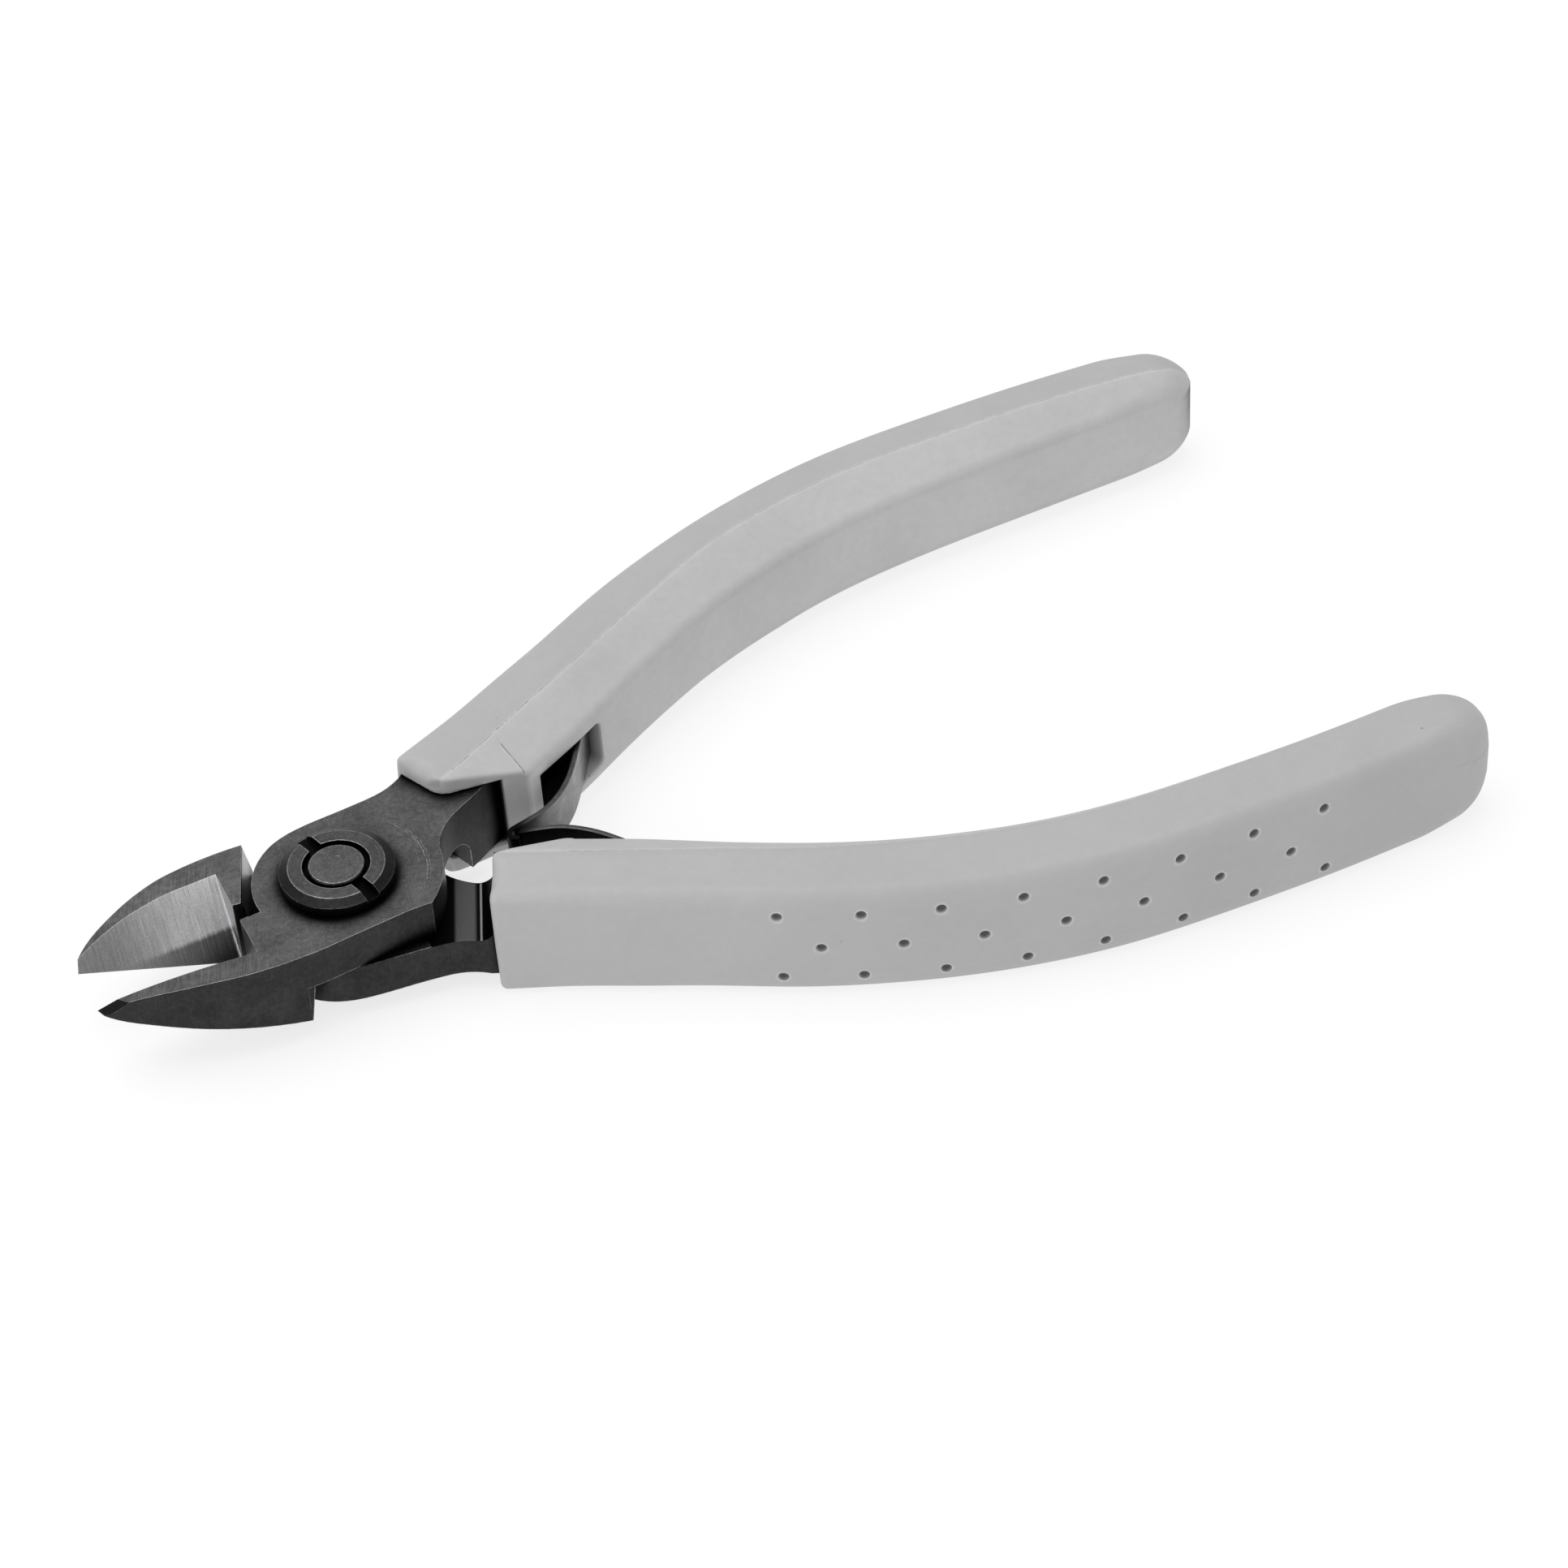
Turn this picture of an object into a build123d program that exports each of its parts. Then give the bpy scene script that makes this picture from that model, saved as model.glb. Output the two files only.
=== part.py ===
from build123d import *
from math import atan2, cos, degrees, hypot, radians, sin, sqrt
import os

os.makedirs("parts", exist_ok=True)

# ---------------------------------------------------------------------------
# Micro side cutter, lap joint, two moulded grips, pair of leaf return springs.
# Sizes in millimetres. The tool lies on its underside: +X runs to the handle
# ends, -X to the jaw tips, +Y is the far side of lever A's handle.
# Points below are given from the joint axis, at mid-thickness, and are moved
# to the frame of the part (centre of the underside) by OX and OZ.
# ---------------------------------------------------------------------------
OX = -36.55             # joint axis in X
OZ = 5.70               # mid-thickness plane above the surface it lies on

HALF_OPEN = 6.05        # each jaw stands this many degrees off the middle
T = 3.75                # half the thickness of the joint
LAP = 0.02              # each lap face stands off the middle plane
TANG_T = 2.80           # half the thickness of the tang inside the grip
GRIP_H = 5.70           # half the height of the grip at its ridge
GRIP_I = 3.35           # half the height of the grip's inner face
SEAM = 4.50             # the skin's seam, from the outer wall
SKIN = 1.20             # thickness of the skin
GRIP_B_SLIDE = 0.80     # the near grip sits this much further along its tang

TIP_X = -22.75          # cutting tips
BEVEL_BACK = -9.15      # the ground bevel ends here in an upright wall
BEVEL_SLOPE = 0.635     # run in Y for each mm of height
UNDER_X0, UNDER_SLOPE = -6.00, 0.265   # underside rises to the tip from here
EDGE_GAP = 0.010        # cutting edges stop short of the closing plane
TIP_FACET = (-21.30, 3.30, 2.00)       # a point of the facet ground across the near tip
BOSS_BACK = 7.35        # radius of the boss towards the jaws
BOSS_FRONT = 8.90       # radius of the boss towards the handles

PIN_R = 2.44            # joint screw
HOLE_R = 2.49           # running fit of lever B on the screw
HEAD_R, HEAD_H = 4.60, 1.50
NUT_R, NUT_TOP_R, NUT_H, NUT_CH = 4.93, 4.12, 1.52, 0.45
GROOVE_R, GROOVE_D = 2.90, 0.60
SLOT_W, SLOT_D, SLOT_ANGLE = 1.25, 0.65, -72.0

LEAF_T, LEAF_W = 0.50, 2.15            # thickness, half width
RIVET_R = 0.60


def turned(x, y, a):
    """A point turned about the joint axis by a degrees."""
    c, s = cos(radians(a)), sin(radians(a))
    return (x * c - y * s, x * s + y * c)


def flat(h):
    """Horizontal working plane at height h above mid-thickness."""
    return Plane(origin=(OX, 0, OZ + h), x_dir=(1, 0, 0), z_dir=(0, 0, 1))


def edge_y(x, gap=EDGE_GAP):
    """Inner line of a jaw: through the joint axis at the opening angle."""
    return -x * sin(radians(HALF_OPEN)) / cos(radians(HALF_OPEN)) + gap


def edge_z(x):
    """Height of the underside plane of the jaws."""
    return -T + UNDER_SLOPE * (UNDER_X0 - x)


# Outline of a jaw, mirrored for the near one: tip, outer curve, back edge.
JAW_OUT = [(-22.45, 3.05), (-21.0, 4.20), (-19.1, 5.10), (-17.0, 5.95), (-15.1, 6.58),
           (-12.5, 7.18), (-9.7, 7.53), (-6.0, 7.58)]
JAW_BACK = (-8.30, 1.20)
HEEL_LEAN = 0.62        # the jaw's back edge leans out by this much at the lap
# Lever outline beyond the jaw, on the jaw's own side of the boss.
NEAR_SIDE = [(-6.0, 7.58), (-4.0, 7.50), (-1.0, 7.12), (2.0, 6.80), (3.8, 6.60), (5.9, 6.62)]
# Lever outline on the handle's side of the boss, out to the grip.
FAR_SIDE = [(-4.15, 6.07), (-2.3, 6.92), (0.0, 7.35), (2.3, 7.55), (5.4, 7.85), (7.0, 8.15),
            (8.4, 8.75), (9.4, 9.45)]
TANG_OUT = [(12.0, 10.0), (18.0, 13.1), (28.0, 18.4), (40.0, 24.3), (53.0, 28.1),
            (66.0, 29.4), (80.0, 29.5)]
TANG_IN = [(80.0, 25.3), (66.0, 25.1), (53.0, 23.2), (42.0, 19.4), (30.5, 13.7),
           (25.0, 10.5), (19.8, 7.70), (15.4, 5.70)]
NECK_IN = [(14.8, 4.55), (12.6, 3.25), (11.2, 2.40), (10.1, 1.40), (9.35, 0.35), (8.97, -0.55)]
LAP_WALL = [(10.26, 9.73), (12.76, 3.33)]      # far end of the lap face, across the neck
LAP_FILLET = 2.0        # hollow corner where the lap face meets that wall

# Grip: inner edge (at GRIP_I) and outer wall (at mid height), station by station.
STATIONS = [((7.6, -2.4), (2.7, 6.5)), ((13.6, 1.02), (8.55, 9.95)), ((19.4, 4.28), (14.6, 12.85)),
            ((25.0, 7.30), (20.15, 15.85)), ((30.6, 10.72), (25.8, 18.85)),
            ((36.7, 14.15), (32.1, 22.35)), ((42.3, 16.85), (38.4, 25.25)),
            ((47.9, 18.95), (44.7, 27.60)), ((54.0, 20.75), (51.7, 29.50)),
            ((61.2, 22.00), (59.9, 30.85)), ((70.0, 22.75), (69.5, 31.30)),
            ((79.2, 23.20), (79.2, 31.35)), ((88.0, 23.62), (88.2, 31.00)),
            ((96.6, 23.95), (96.9, 30.60))]
CORNER = [0.5, 0.5, 0.75, 0.95, 1.1, 1.1, 1.1, 1.1, 1.0, 0.85, 0.75, 0.7, 0.7, 0.7]   # outer corner, per station
END_R = 4.0             # rear end, rounded as seen from the side
GRIP_END = 95.85
FRONT = [(8.95, 11.4), (9.25, 9.70), (10.25, 7.30), (11.30, 5.50), (11.75, 5.10), (14.6, 4.85),
         (19.25, 4.35)]
POCKET = [(20.3, 27.3), 2.65]          # along the inner face in X, half height
LEAF = [(16.15, 0.36), (17.6, 0.72), (18.9, 1.12), (20.2, 1.80), (21.5, 2.85), (22.6, 4.05),
        (23.6, 5.45), (24.6, 7.05), (25.6, 8.65), (26.6, 10.25), (30.55, 16.55)]
LEAF_HOOK = [(15.62, 0.16), (15.33, -0.28), (15.45, -0.80), (15.95, -1.02)]
SLOT_IN, SLOT_END = (25.3, 8.15), (30.65, 16.70)
RIVET_AT = (29.90, 15.50)
RIVET_L = 1.1           # half the length of the rivet


def side(points, s):
    """The same points on the other side of the tool when s is -1."""
    return [(x, s * y) for x, y in points]


def stations(b):
    """Grip stations; the near grip sits a little further along its tang."""
    d = GRIP_B_SLIDE if b else 0.0
    out = []
    for (xi, yi), (xo, yo) in STATIONS:
        nx, ny = xo - xi, yo - yi
        w = hypot(nx, ny)
        out.append(((xi, yi), (nx / w, ny / w), w))
    return out, d


# ---------------------------------------------------------------------------
# Levers. Lever A: near jaw, upper half of the lap, far tang. Lever B is the
# same forging turned over: far jaw, lower half, near tang, ground opposite.
# ---------------------------------------------------------------------------
lever_parts = {}
for name, s, up in (("lever_a", 1, 1), ("lever_b", -1, -1)):
    # s: side of the handle, up: which half of the lap
    lo, hi = (LAP, T) if up > 0 else (-T, -LAP)
    with BuildPart() as lever:
        # boss and neck, from the jaw's outer wall round to the start of the tang
        with BuildSketch(flat(-T)):
            with BuildLine():
                a0 = side([NEAR_SIDE[0]], -s)[0]
                Spline(*side(NEAR_SIDE, -s))
                ThreePointArc(side(NEAR_SIDE, -s)[-1], (BOSS_FRONT * cos(radians(-s * 25)), BOSS_FRONT * sin(radians(-s * 25))),
                              side(NECK_IN, s)[-1])
                Spline(*side(NECK_IN[::-1], s))
                Polyline(*side([NECK_IN[0], (17.0, 5.9), (13.5, 11.35), FAR_SIDE[-1]], s))
                Spline(*side(FAR_SIDE[::-1], s))
                ThreePointArc(side(FAR_SIDE, s)[0], (-BOSS_BACK * cos(radians(12)), s * BOSS_BACK * sin(radians(12))),
                              (-7.30, -s * 0.85))
                Polyline((-7.30, -s * 0.85), (-8.42, -s * 0.97), (-9.2, -s * 5.0), a0)
            make_face()
        extrude(amount=2 * T)
        # lap: the other half of the thickness is cut away up to the wall
        (wx0, wy0), (wx1, wy1) = side(LAP_WALL, s)
        wl = hypot(wx1 - wx0, wy1 - wy0)
        wx, wy = (wx1 - wx0) / wl, (wy1 - wy0) / wl
        pl = Plane(origin=(OX + wx0 - 9 * wx, wy0 - 9 * wy, OZ), x_dir=(-s * wy, s * wx, 0), z_dir=(wx, wy, 0))
        k = pl.y_dir.Z                      # +1 when the plane's own Y runs up
        q = -1 if up > 0 else 1             # side of the middle that is removed
        zl, zf = -q * LAP * k, (-q * LAP + q * LAP_FILLET) * k
        with BuildSketch(pl):
            with BuildLine():
                Polyline((-LAP_FILLET, zl), (-32, zl), (-32, q * (T + 1) * k), (0, q * (T + 1) * k), (0, zf))
                ThreePointArc((0, zf), (-LAP_FILLET * (1 - sin(radians(45))), zl + (zf - zl) * (1 - cos(radians(45)))),
                              (-LAP_FILLET, zl))
            make_face()
        extrude(amount=26, mode=Mode.SUBTRACT)
        # jaw, full thickness in front of its back edge
        with BuildSketch(flat(-T)):
            with BuildLine():
                Spline(*side(JAW_OUT, -s))
                Polyline(side(JAW_OUT, -s)[-1], (JAW_BACK[0], -s * JAW_BACK[1]),
                         (JAW_BACK[0] - 0.1, -s * edge_y(JAW_BACK[0])),
                         (TIP_X, -s * edge_y(TIP_X)), side(JAW_OUT, -s)[0])
            make_face()
        extrude(amount=2 * T)
        # heel: the upright back of the jaw leans out towards the lap
        (hx, hy), (jx, jy) = side([JAW_OUT[-1], JAW_BACK], -s)
        hl = hypot(hx - jx, hy - jy)
        ex, ey = (hx - jx) / hl, (hy - jy) / hl
        with BuildPart(mode=Mode.PRIVATE) as heel:
            pl = Plane(origin=(OX + jx, jy, OZ), x_dir=(abs(ey), -ex * (1 if ey > 0 else -1), 0), z_dir=(ex, ey, 0))
            k = pl.y_dir.Z
            q = -1 if up > 0 else 1
            with BuildSketch(pl):
                with BuildLine():
                    Polyline((-0.3, q * T * k), (0, q * T * k), (HEEL_LEAN, q * LAP * k), (-0.3, q * LAP * k), close=True)
                make_face()
            extrude(amount=hl + 2)
            with BuildSketch(flat(-T - 1)):
                with Locations((0, -s * (JAW_OUT[-1][1] - 0.01 + 5))):
                    Rectangle(60, 10)
            extrude(amount=2 * T + 2, mode=Mode.SUBTRACT)
        add(heel.part)
        # tang inside the grip
        with BuildSketch(flat(-TANG_T)):
            with BuildLine():
                Spline(*side(TANG_OUT, s))
                Line(*side([TANG_OUT[-1], TANG_IN[0]], s))
                Spline(*side(TANG_IN, s))
                Line(*side([TANG_IN[-1], TANG_OUT[0]], s))
            make_face()
        extrude(amount=2 * TANG_T)
        # underside of the jaw rises to the tip
        with BuildSketch(Plane(origin=(OX, 0, OZ), x_dir=(1, 0, 0), z_dir=(0, -1, 0))):
            with BuildLine():
                Polyline((UNDER_X0, -T), (-30.0, edge_z(-30.0)), (-30.0, -T - 2), (UNDER_X0, -T - 2), close=True)
            make_face()
        extrude(amount=12, both=True, mode=Mode.SUBTRACT)
        # top of the jaw falls to the tip
        with BuildSketch(Plane(origin=(OX, 0, OZ), x_dir=(1, 0, 0), z_dir=(0, -1, 0))):
            with BuildLine():
                Spline((-13.0, T), (-15.1, T - 0.14), (-17.8, T - 0.56), (-19.8, T - 1.08), (-22.9, T - 2.25),
                       tangents=((-1, 0), (-1, -0.42)))
                Polyline((-22.9, T - 2.25), (-24.0, T + 1), (-13.0, T + 1), (-13.0, T))
            make_face()
        extrude(amount=12, both=True, mode=Mode.SUBTRACT)
        # ground bevel: a plane through the cutting edge, open to the front
        p0 = Vector(OX + TIP_X, -s * (edge_y(TIP_X) - EDGE_GAP), OZ + edge_z(TIP_X))
        p1 = Vector(OX + BEVEL_BACK, -s * (edge_y(BEVEL_BACK) - EDGE_GAP), OZ + edge_z(BEVEL_BACK))
        along = (p1 - p0).normalized()
        rise = Vector(0, -s * BEVEL_SLOPE, 1).normalized()
        normal = along.cross(rise).normalized()
        if normal.Y * s < 0:
            normal = normal * -1
        pl = Plane(origin=p1, x_dir=along, z_dir=normal)
        ru, rv = rise.dot(pl.x_dir), rise.dot(pl.y_dir)
        with BuildSketch(pl):
            with BuildLine():
                Polyline((-14 * ru, -14 * rv), (14 * ru, 14 * rv), (14 * ru - 24, 14 * rv), (-14 * ru - 24, -14 * rv), close=True)
            make_face()
        extrude(amount=9, dir=(0, s, 0), mode=Mode.SUBTRACT)
        if up > 0:
            # small ground facet across the tip
            tn = Vector(-0.76, -0.39 * s, 0.515).normalized()
            with BuildSketch(Plane(origin=Vector(OX + TIP_FACET[0], -s * TIP_FACET[1], OZ + TIP_FACET[2]),
                                   x_dir=Vector(0, 0, 1).cross(tn).normalized(), z_dir=tn)):
                Rectangle(9, 9)
            extrude(amount=4, mode=Mode.SUBTRACT)
        # joint bore
        with BuildSketch(flat(-T)):
            Circle(PIN_R if up > 0 else HOLE_R)
        extrude(amount=2 * T, mode=Mode.SUBTRACT)
        if up < 0:
            with BuildSketch(flat(-T)):
                Circle(HEAD_R + 0.06)
            extrude(amount=HEAD_H + 0.02, mode=Mode.SUBTRACT)
        # slot for the root of the leaf spring, and the hole of its rivet
        dx, dy = SLOT_END[0] - SLOT_IN[0], SLOT_END[1] - SLOT_IN[1]
        ln = hypot(dx, dy)
        with BuildSketch(Plane(origin=(OX + (SLOT_IN[0] + SLOT_END[0]) / 2, s * (SLOT_IN[1] + SLOT_END[1]) / 2, OZ - LEAF_W - 0.02),
                               x_dir=(dx / ln, s * dy / ln, 0), z_dir=(0, 0, 1))):
            Rectangle(ln, LEAF_T + 0.02)
        extrude(amount=2 * LEAF_W + 0.04, mode=Mode.SUBTRACT)
        with BuildSketch(Plane(origin=(OX + RIVET_AT[0], s * RIVET_AT[1], OZ), x_dir=(0, 0, 1),
                               z_dir=(-dy / ln, s * dx / ln, 0))):
            Circle(RIVET_R)
        extrude(amount=RIVET_L, both=True, mode=Mode.SUBTRACT)
    lever.part.label = name
    lever_parts[name] = lever.part
    export_step(lever.part, f"parts/{name}.step")

# ---------------------------------------------------------------------------
# Joint screw, head sunk in the underside, and its round slotted nut.
# ---------------------------------------------------------------------------
with BuildPart() as joint_screw:
    with BuildSketch(flat(-T)):
        Circle(HEAD_R)
    extrude(amount=HEAD_H)
    with BuildSketch(flat(-T + HEAD_H)):
        Circle(PIN_R)
    extrude(amount=2 * T - HEAD_H + NUT_H)
    chamfer(joint_screw.edges().filter_by(GeomType.CIRCLE).sort_by(Axis.Z)[-1], length=0.12)
    with BuildSketch(flat(-T)):
        Rectangle(6.0, 1.1)
    extrude(amount=0.8, mode=Mode.SUBTRACT)
joint_screw.part.label = "joint_screw"
export_step(joint_screw.part, "parts/joint_screw.step")

with BuildPart() as joint_nut:
    with BuildSketch(flat(T)):
        Circle(NUT_R)
        Circle(PIN_R, mode=Mode.SUBTRACT)
    extrude(amount=NUT_H)
    chamfer(joint_nut.edges().filter_by(GeomType.CIRCLE).group_by(Axis.Z)[-1].sort_by(SortBy.RADIUS)[-1],
            length=NUT_CH, length2=NUT_R - NUT_TOP_R)
    with BuildSketch(flat(T + NUT_H - GROOVE_D)):
        Circle(GROOVE_R)
        Circle(PIN_R, mode=Mode.SUBTRACT)
    extrude(amount=GROOVE_D, mode=Mode.SUBTRACT)
    with BuildSketch(Plane(origin=(OX, 0, OZ + T + NUT_H - SLOT_D),
                           x_dir=(cos(radians(SLOT_ANGLE)), sin(radians(SLOT_ANGLE)), 0), z_dir=(0, 0, 1))):
        Rectangle(12, SLOT_W)
        Circle(PIN_R, mode=Mode.SUBTRACT)
    extrude(amount=SLOT_D, mode=Mode.SUBTRACT)
joint_nut.part.label = "joint_nut"
export_step(joint_nut.part, "parts/joint_nut.step")

# ---------------------------------------------------------------------------
# Grips: a hard body over the tang, and the softer dimpled skin outside the
# seam. Both are cut from one long loft through the stations.
# ---------------------------------------------------------------------------
for b, s in ((0, 1), (1, -1)):
    tag = "ab"[b]
    sts, slide = stations(b)
    with BuildPart() as whole:
        for ((xi, yi), (nx, ny), w), r in zip(sts, CORNER):
            pl = Plane(origin=(OX + xi, s * yi, OZ), x_dir=(nx, s * ny, 0), z_dir=(s * ny, -nx, 0))
            up = 1 if pl.y_dir.Z > 0 else -1
            h = GRIP_H + 0.03
            pts = [(0, -GRIP_I), (0, GRIP_I), (w - SEAM, GRIP_H - 0.12), (w - SEAM + 1.2, h), (w - r - 0.5, h),
                   (w - 0.12, GRIP_H - r - 0.2), (w, 0), (w - 0.12, -GRIP_H + r + 0.2), (w - r - 0.5, -h),
                   (w - SEAM + 1.2, -h), (w - SEAM, -GRIP_H + 0.12)]
            with BuildSketch(pl):
                with BuildLine():
                    Polyline(*[(p, up * q) for p, q in pts], close=True)
                make_face()
        loft()
        # true flats along the top and the underside, the one it rests on
        for z0 in (GRIP_H, -GRIP_H - 3):
            with BuildSketch(flat(z0)):
                with Locations((50, s * 15)):
                    Rectangle(120, 60)
            extrude(amount=3, mode=Mode.SUBTRACT)
        # front end: square across the outer half, parallel to the tool inside
        with BuildSketch(flat(-9)):
            with BuildLine():
                f = side([(x + slide, y + 0.55 * slide) if i < 5 else (x + slide * 0.9, y + 0.3 * slide)
                          for i, (x, y) in enumerate(FRONT)], s)
                Polyline(*f, (f[-1][0], s * -8.0), (-8.0, s * -8.0), (-8.0, s * 14.5), (f[0][0] - 0.4, s * 14.5),
                         f[0], close=True)
            make_face()
        extrude(amount=18, mode=Mode.SUBTRACT)
        # rounded rear end
        with BuildSketch(flat(-9)):
            with BuildLine():
                Polyline((99, s * 20), (99, s * 35), (90.5, s * 35), (90.5, s * 31.6), close=False)
                Spline((90.5, s * 31.6), (93.2, s * 30.35), (95.2, s * 28.6), (GRIP_END, s * 26.6), (95.1, s * 24.7), (93.3, s * 23.0))
                Polyline((93.3, s * 23.0), (93.3, s * 20), (99, s * 20))
            make_face()
        extrude(amount=18, mode=Mode.SUBTRACT)
        with BuildSketch(Plane(origin=(OX, 0, OZ), x_dir=(1, 0, 0), z_dir=(0, -1, 0))):
            with BuildLine():
                Polyline((GRIP_END - END_R, -GRIP_H - 0.01), (GRIP_END - END_R, -9), (GRIP_END + 5, -9),
                         (GRIP_END + 5, 9), (GRIP_END - END_R, 9), (GRIP_END - END_R, GRIP_H + 0.01))
                c45 = END_R * (1 - cos(radians(45)))
                ThreePointArc((GRIP_END - END_R, GRIP_H + 0.01), (GRIP_END - c45, GRIP_H - c45), (GRIP_END, GRIP_H - END_R))
                Line((GRIP_END, GRIP_H - END_R), (GRIP_END, -GRIP_H + END_R))
                ThreePointArc((GRIP_END, -GRIP_H + END_R), (GRIP_END - c45, -GRIP_H + c45), (GRIP_END - END_R, -GRIP_H - 0.01))
            make_face()
        extrude(amount=40, both=True, mode=Mode.SUBTRACT)
        # cavity for the tang, and for the full-thickness neck at the front
        with BuildSketch(flat(-TANG_T)):
            with BuildLine():
                Spline(*side(TANG_OUT, s))
                Line(*side([TANG_OUT[-1], TANG_IN[0]], s))
                Spline(*side(TANG_IN, s))
                Line(*side([TANG_IN[-1], TANG_OUT[0]], s))
            make_face()
        extrude(amount=2 * TANG_T, mode=Mode.SUBTRACT)
        with BuildSketch(flat(-T)):
            with BuildLine():
                Polyline(*side([(9.4, 9.45), (13.5, 11.35), (17.0, 5.9), (17.1, 4.0), (9.0, 4.0), (8.4, 8.75), (9.4, 9.45)], s))
            make_face()
        extrude(amount=2 * T, mode=Mode.SUBTRACT)
        # spring pocket in the inner face, open to the tang
        (px0, px1), ph = POCKET
        with BuildSketch(flat(-ph)):
            with BuildLine():
                Polyline(*side([(px0, 4.0), (px0 - 1.2, 7.9), (27.2, 12.2), (29.0, 13.2), (28.9, 11.2), (28.2, 9.2), (px1, 7.0),
                                (px1 - 2.0, 5.0)], s), close=True)
            make_face()
        extrude(amount=2 * ph, mode=Mode.SUBTRACT)
    with BuildPart() as core:
        for (xi, yi), (nx, ny), w in sts:
            pl = Plane(origin=(OX + xi, s * yi, OZ), x_dir=(nx, s * ny, 0), z_dir=(s * ny, -nx, 0))
            pts = [(-2, -8), (-2, 8), (w - SEAM, 8), (w - SEAM, GRIP_H - SKIN), (w - SKIN, GRIP_H - SKIN - 0.6),
                   (w - SKIN, -GRIP_H + SKIN + 0.6), (w - SEAM, -GRIP_H + SKIN), (w - SEAM, -8)]
            with BuildSketch(pl):
                with BuildLine():
                    Polyline(*pts, close=True)
                make_face()
        loft()
    with BuildPart() as grip:
        add(whole.part)
        add(core.part, mode=Mode.INTERSECT)
    grip.part.label = f"grip_{tag}"
    export_step(grip.part, f"parts/grip_{tag}.step")
    with BuildPart() as skin:
        add(whole.part)
        add(core.part, mode=Mode.SUBTRACT)
    skin.part.label = f"skin_{tag}"
    export_step(skin.part, f"parts/skin_{tag}.step")

# ---------------------------------------------------------------------------
# Leaf springs: flat strips on edge, rooted in the tangs, meeting in the middle.
# The far one ends in a hook that catches round the end of the near one.
# ---------------------------------------------------------------------------
for tag, s in (("a", 1), ("b", -1)):
    pts = (LEAF_HOOK[::-1] if s > 0 else []) + LEAF
    if s > 0:
        pts = [(x, y) for x, y in pts]
    with BuildPart() as leaf:
        with BuildSketch(flat(-LEAF_W)):
            with BuildLine() as mid:
                if s > 0:
                    Spline(*pts[:-2])
                    Polyline(*pts[-3:])
                else:
                    Spline(*side(pts[:-2], s))
                    Polyline(*side(pts[-3:], s))
            trace(line_width=LEAF_T)
        extrude(amount=2 * LEAF_W)
        dx, dy = SLOT_END[0] - SLOT_IN[0], SLOT_END[1] - SLOT_IN[1]
        ln = hypot(dx, dy)
        with BuildSketch(Plane(origin=(OX + RIVET_AT[0], s * RIVET_AT[1], OZ), x_dir=(0, 0, 1),
                               z_dir=(-dy / ln, s * dx / ln, 0))):
            Circle(RIVET_R)
        extrude(amount=RIVET_L, both=True, mode=Mode.SUBTRACT)
    leaf.part.label = f"leaf_spring_{tag}"
    export_step(leaf.part, f"parts/leaf_spring_{tag}.step")
    with BuildPart() as rivet:
        with BuildSketch(Plane(origin=(OX + RIVET_AT[0], s * RIVET_AT[1], OZ), x_dir=(0, 0, 1),
                               z_dir=(-dy / ln, s * dx / ln, 0))):
            Circle(RIVET_R)
        extrude(amount=RIVET_L, both=True)
    rivet.part.label = f"spring_rivet_{tag}"
    export_step(rivet.part, f"parts/spring_rivet_{tag}.step")
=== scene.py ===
import bpy
import math
import numpy as np
from mathutils import Matrix, Vector

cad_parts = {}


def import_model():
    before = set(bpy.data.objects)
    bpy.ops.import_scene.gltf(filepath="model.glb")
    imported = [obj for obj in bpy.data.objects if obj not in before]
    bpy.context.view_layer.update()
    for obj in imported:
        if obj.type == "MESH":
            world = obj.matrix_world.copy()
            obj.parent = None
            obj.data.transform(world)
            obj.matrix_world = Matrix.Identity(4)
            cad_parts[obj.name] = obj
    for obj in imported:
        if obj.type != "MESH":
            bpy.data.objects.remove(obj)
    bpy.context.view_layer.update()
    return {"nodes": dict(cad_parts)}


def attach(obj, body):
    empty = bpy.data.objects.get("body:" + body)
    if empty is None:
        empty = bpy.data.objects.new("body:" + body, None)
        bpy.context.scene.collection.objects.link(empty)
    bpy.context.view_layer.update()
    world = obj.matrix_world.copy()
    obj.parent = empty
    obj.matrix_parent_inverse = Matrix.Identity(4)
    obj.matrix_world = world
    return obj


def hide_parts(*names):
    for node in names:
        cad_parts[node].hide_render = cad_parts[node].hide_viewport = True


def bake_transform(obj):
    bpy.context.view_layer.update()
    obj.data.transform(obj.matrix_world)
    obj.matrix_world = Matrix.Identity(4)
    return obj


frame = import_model()
N = frame["nodes"]
scene = bpy.context.scene

# ---------------------------------------------------------------------------
# Sizes in millimetres from the joint axis at mid-thickness, as in the part.
# ---------------------------------------------------------------------------
OX, OZ = -36.55, 5.70
GRIP_H, GRIP_I, SEAM, SKIN = 5.70, 3.35, 4.50, 1.20
GRIP_END = 95.85
STATIONS = [((7.6, -2.4), (2.7, 6.5)), ((13.6, 1.02), (8.55, 9.95)), ((19.4, 4.28), (14.6, 12.85)),
            ((25.0, 7.30), (20.15, 15.85)), ((30.6, 10.72), (25.8, 18.85)),
            ((36.7, 14.15), (32.1, 22.35)), ((42.3, 16.85), (38.4, 25.25)),
            ((47.9, 18.95), (44.7, 27.60)), ((54.0, 20.75), (51.7, 29.50)),
            ((61.2, 22.00), (59.9, 30.85)), ((70.0, 22.75), (69.5, 31.30)),
            ((79.2, 23.20), (79.2, 31.35)), ((88.0, 23.62), (88.2, 31.00)),
            ((96.6, 23.95), (96.9, 30.60)), ((106.0, 24.3), (106.4, 29.9))]
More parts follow.
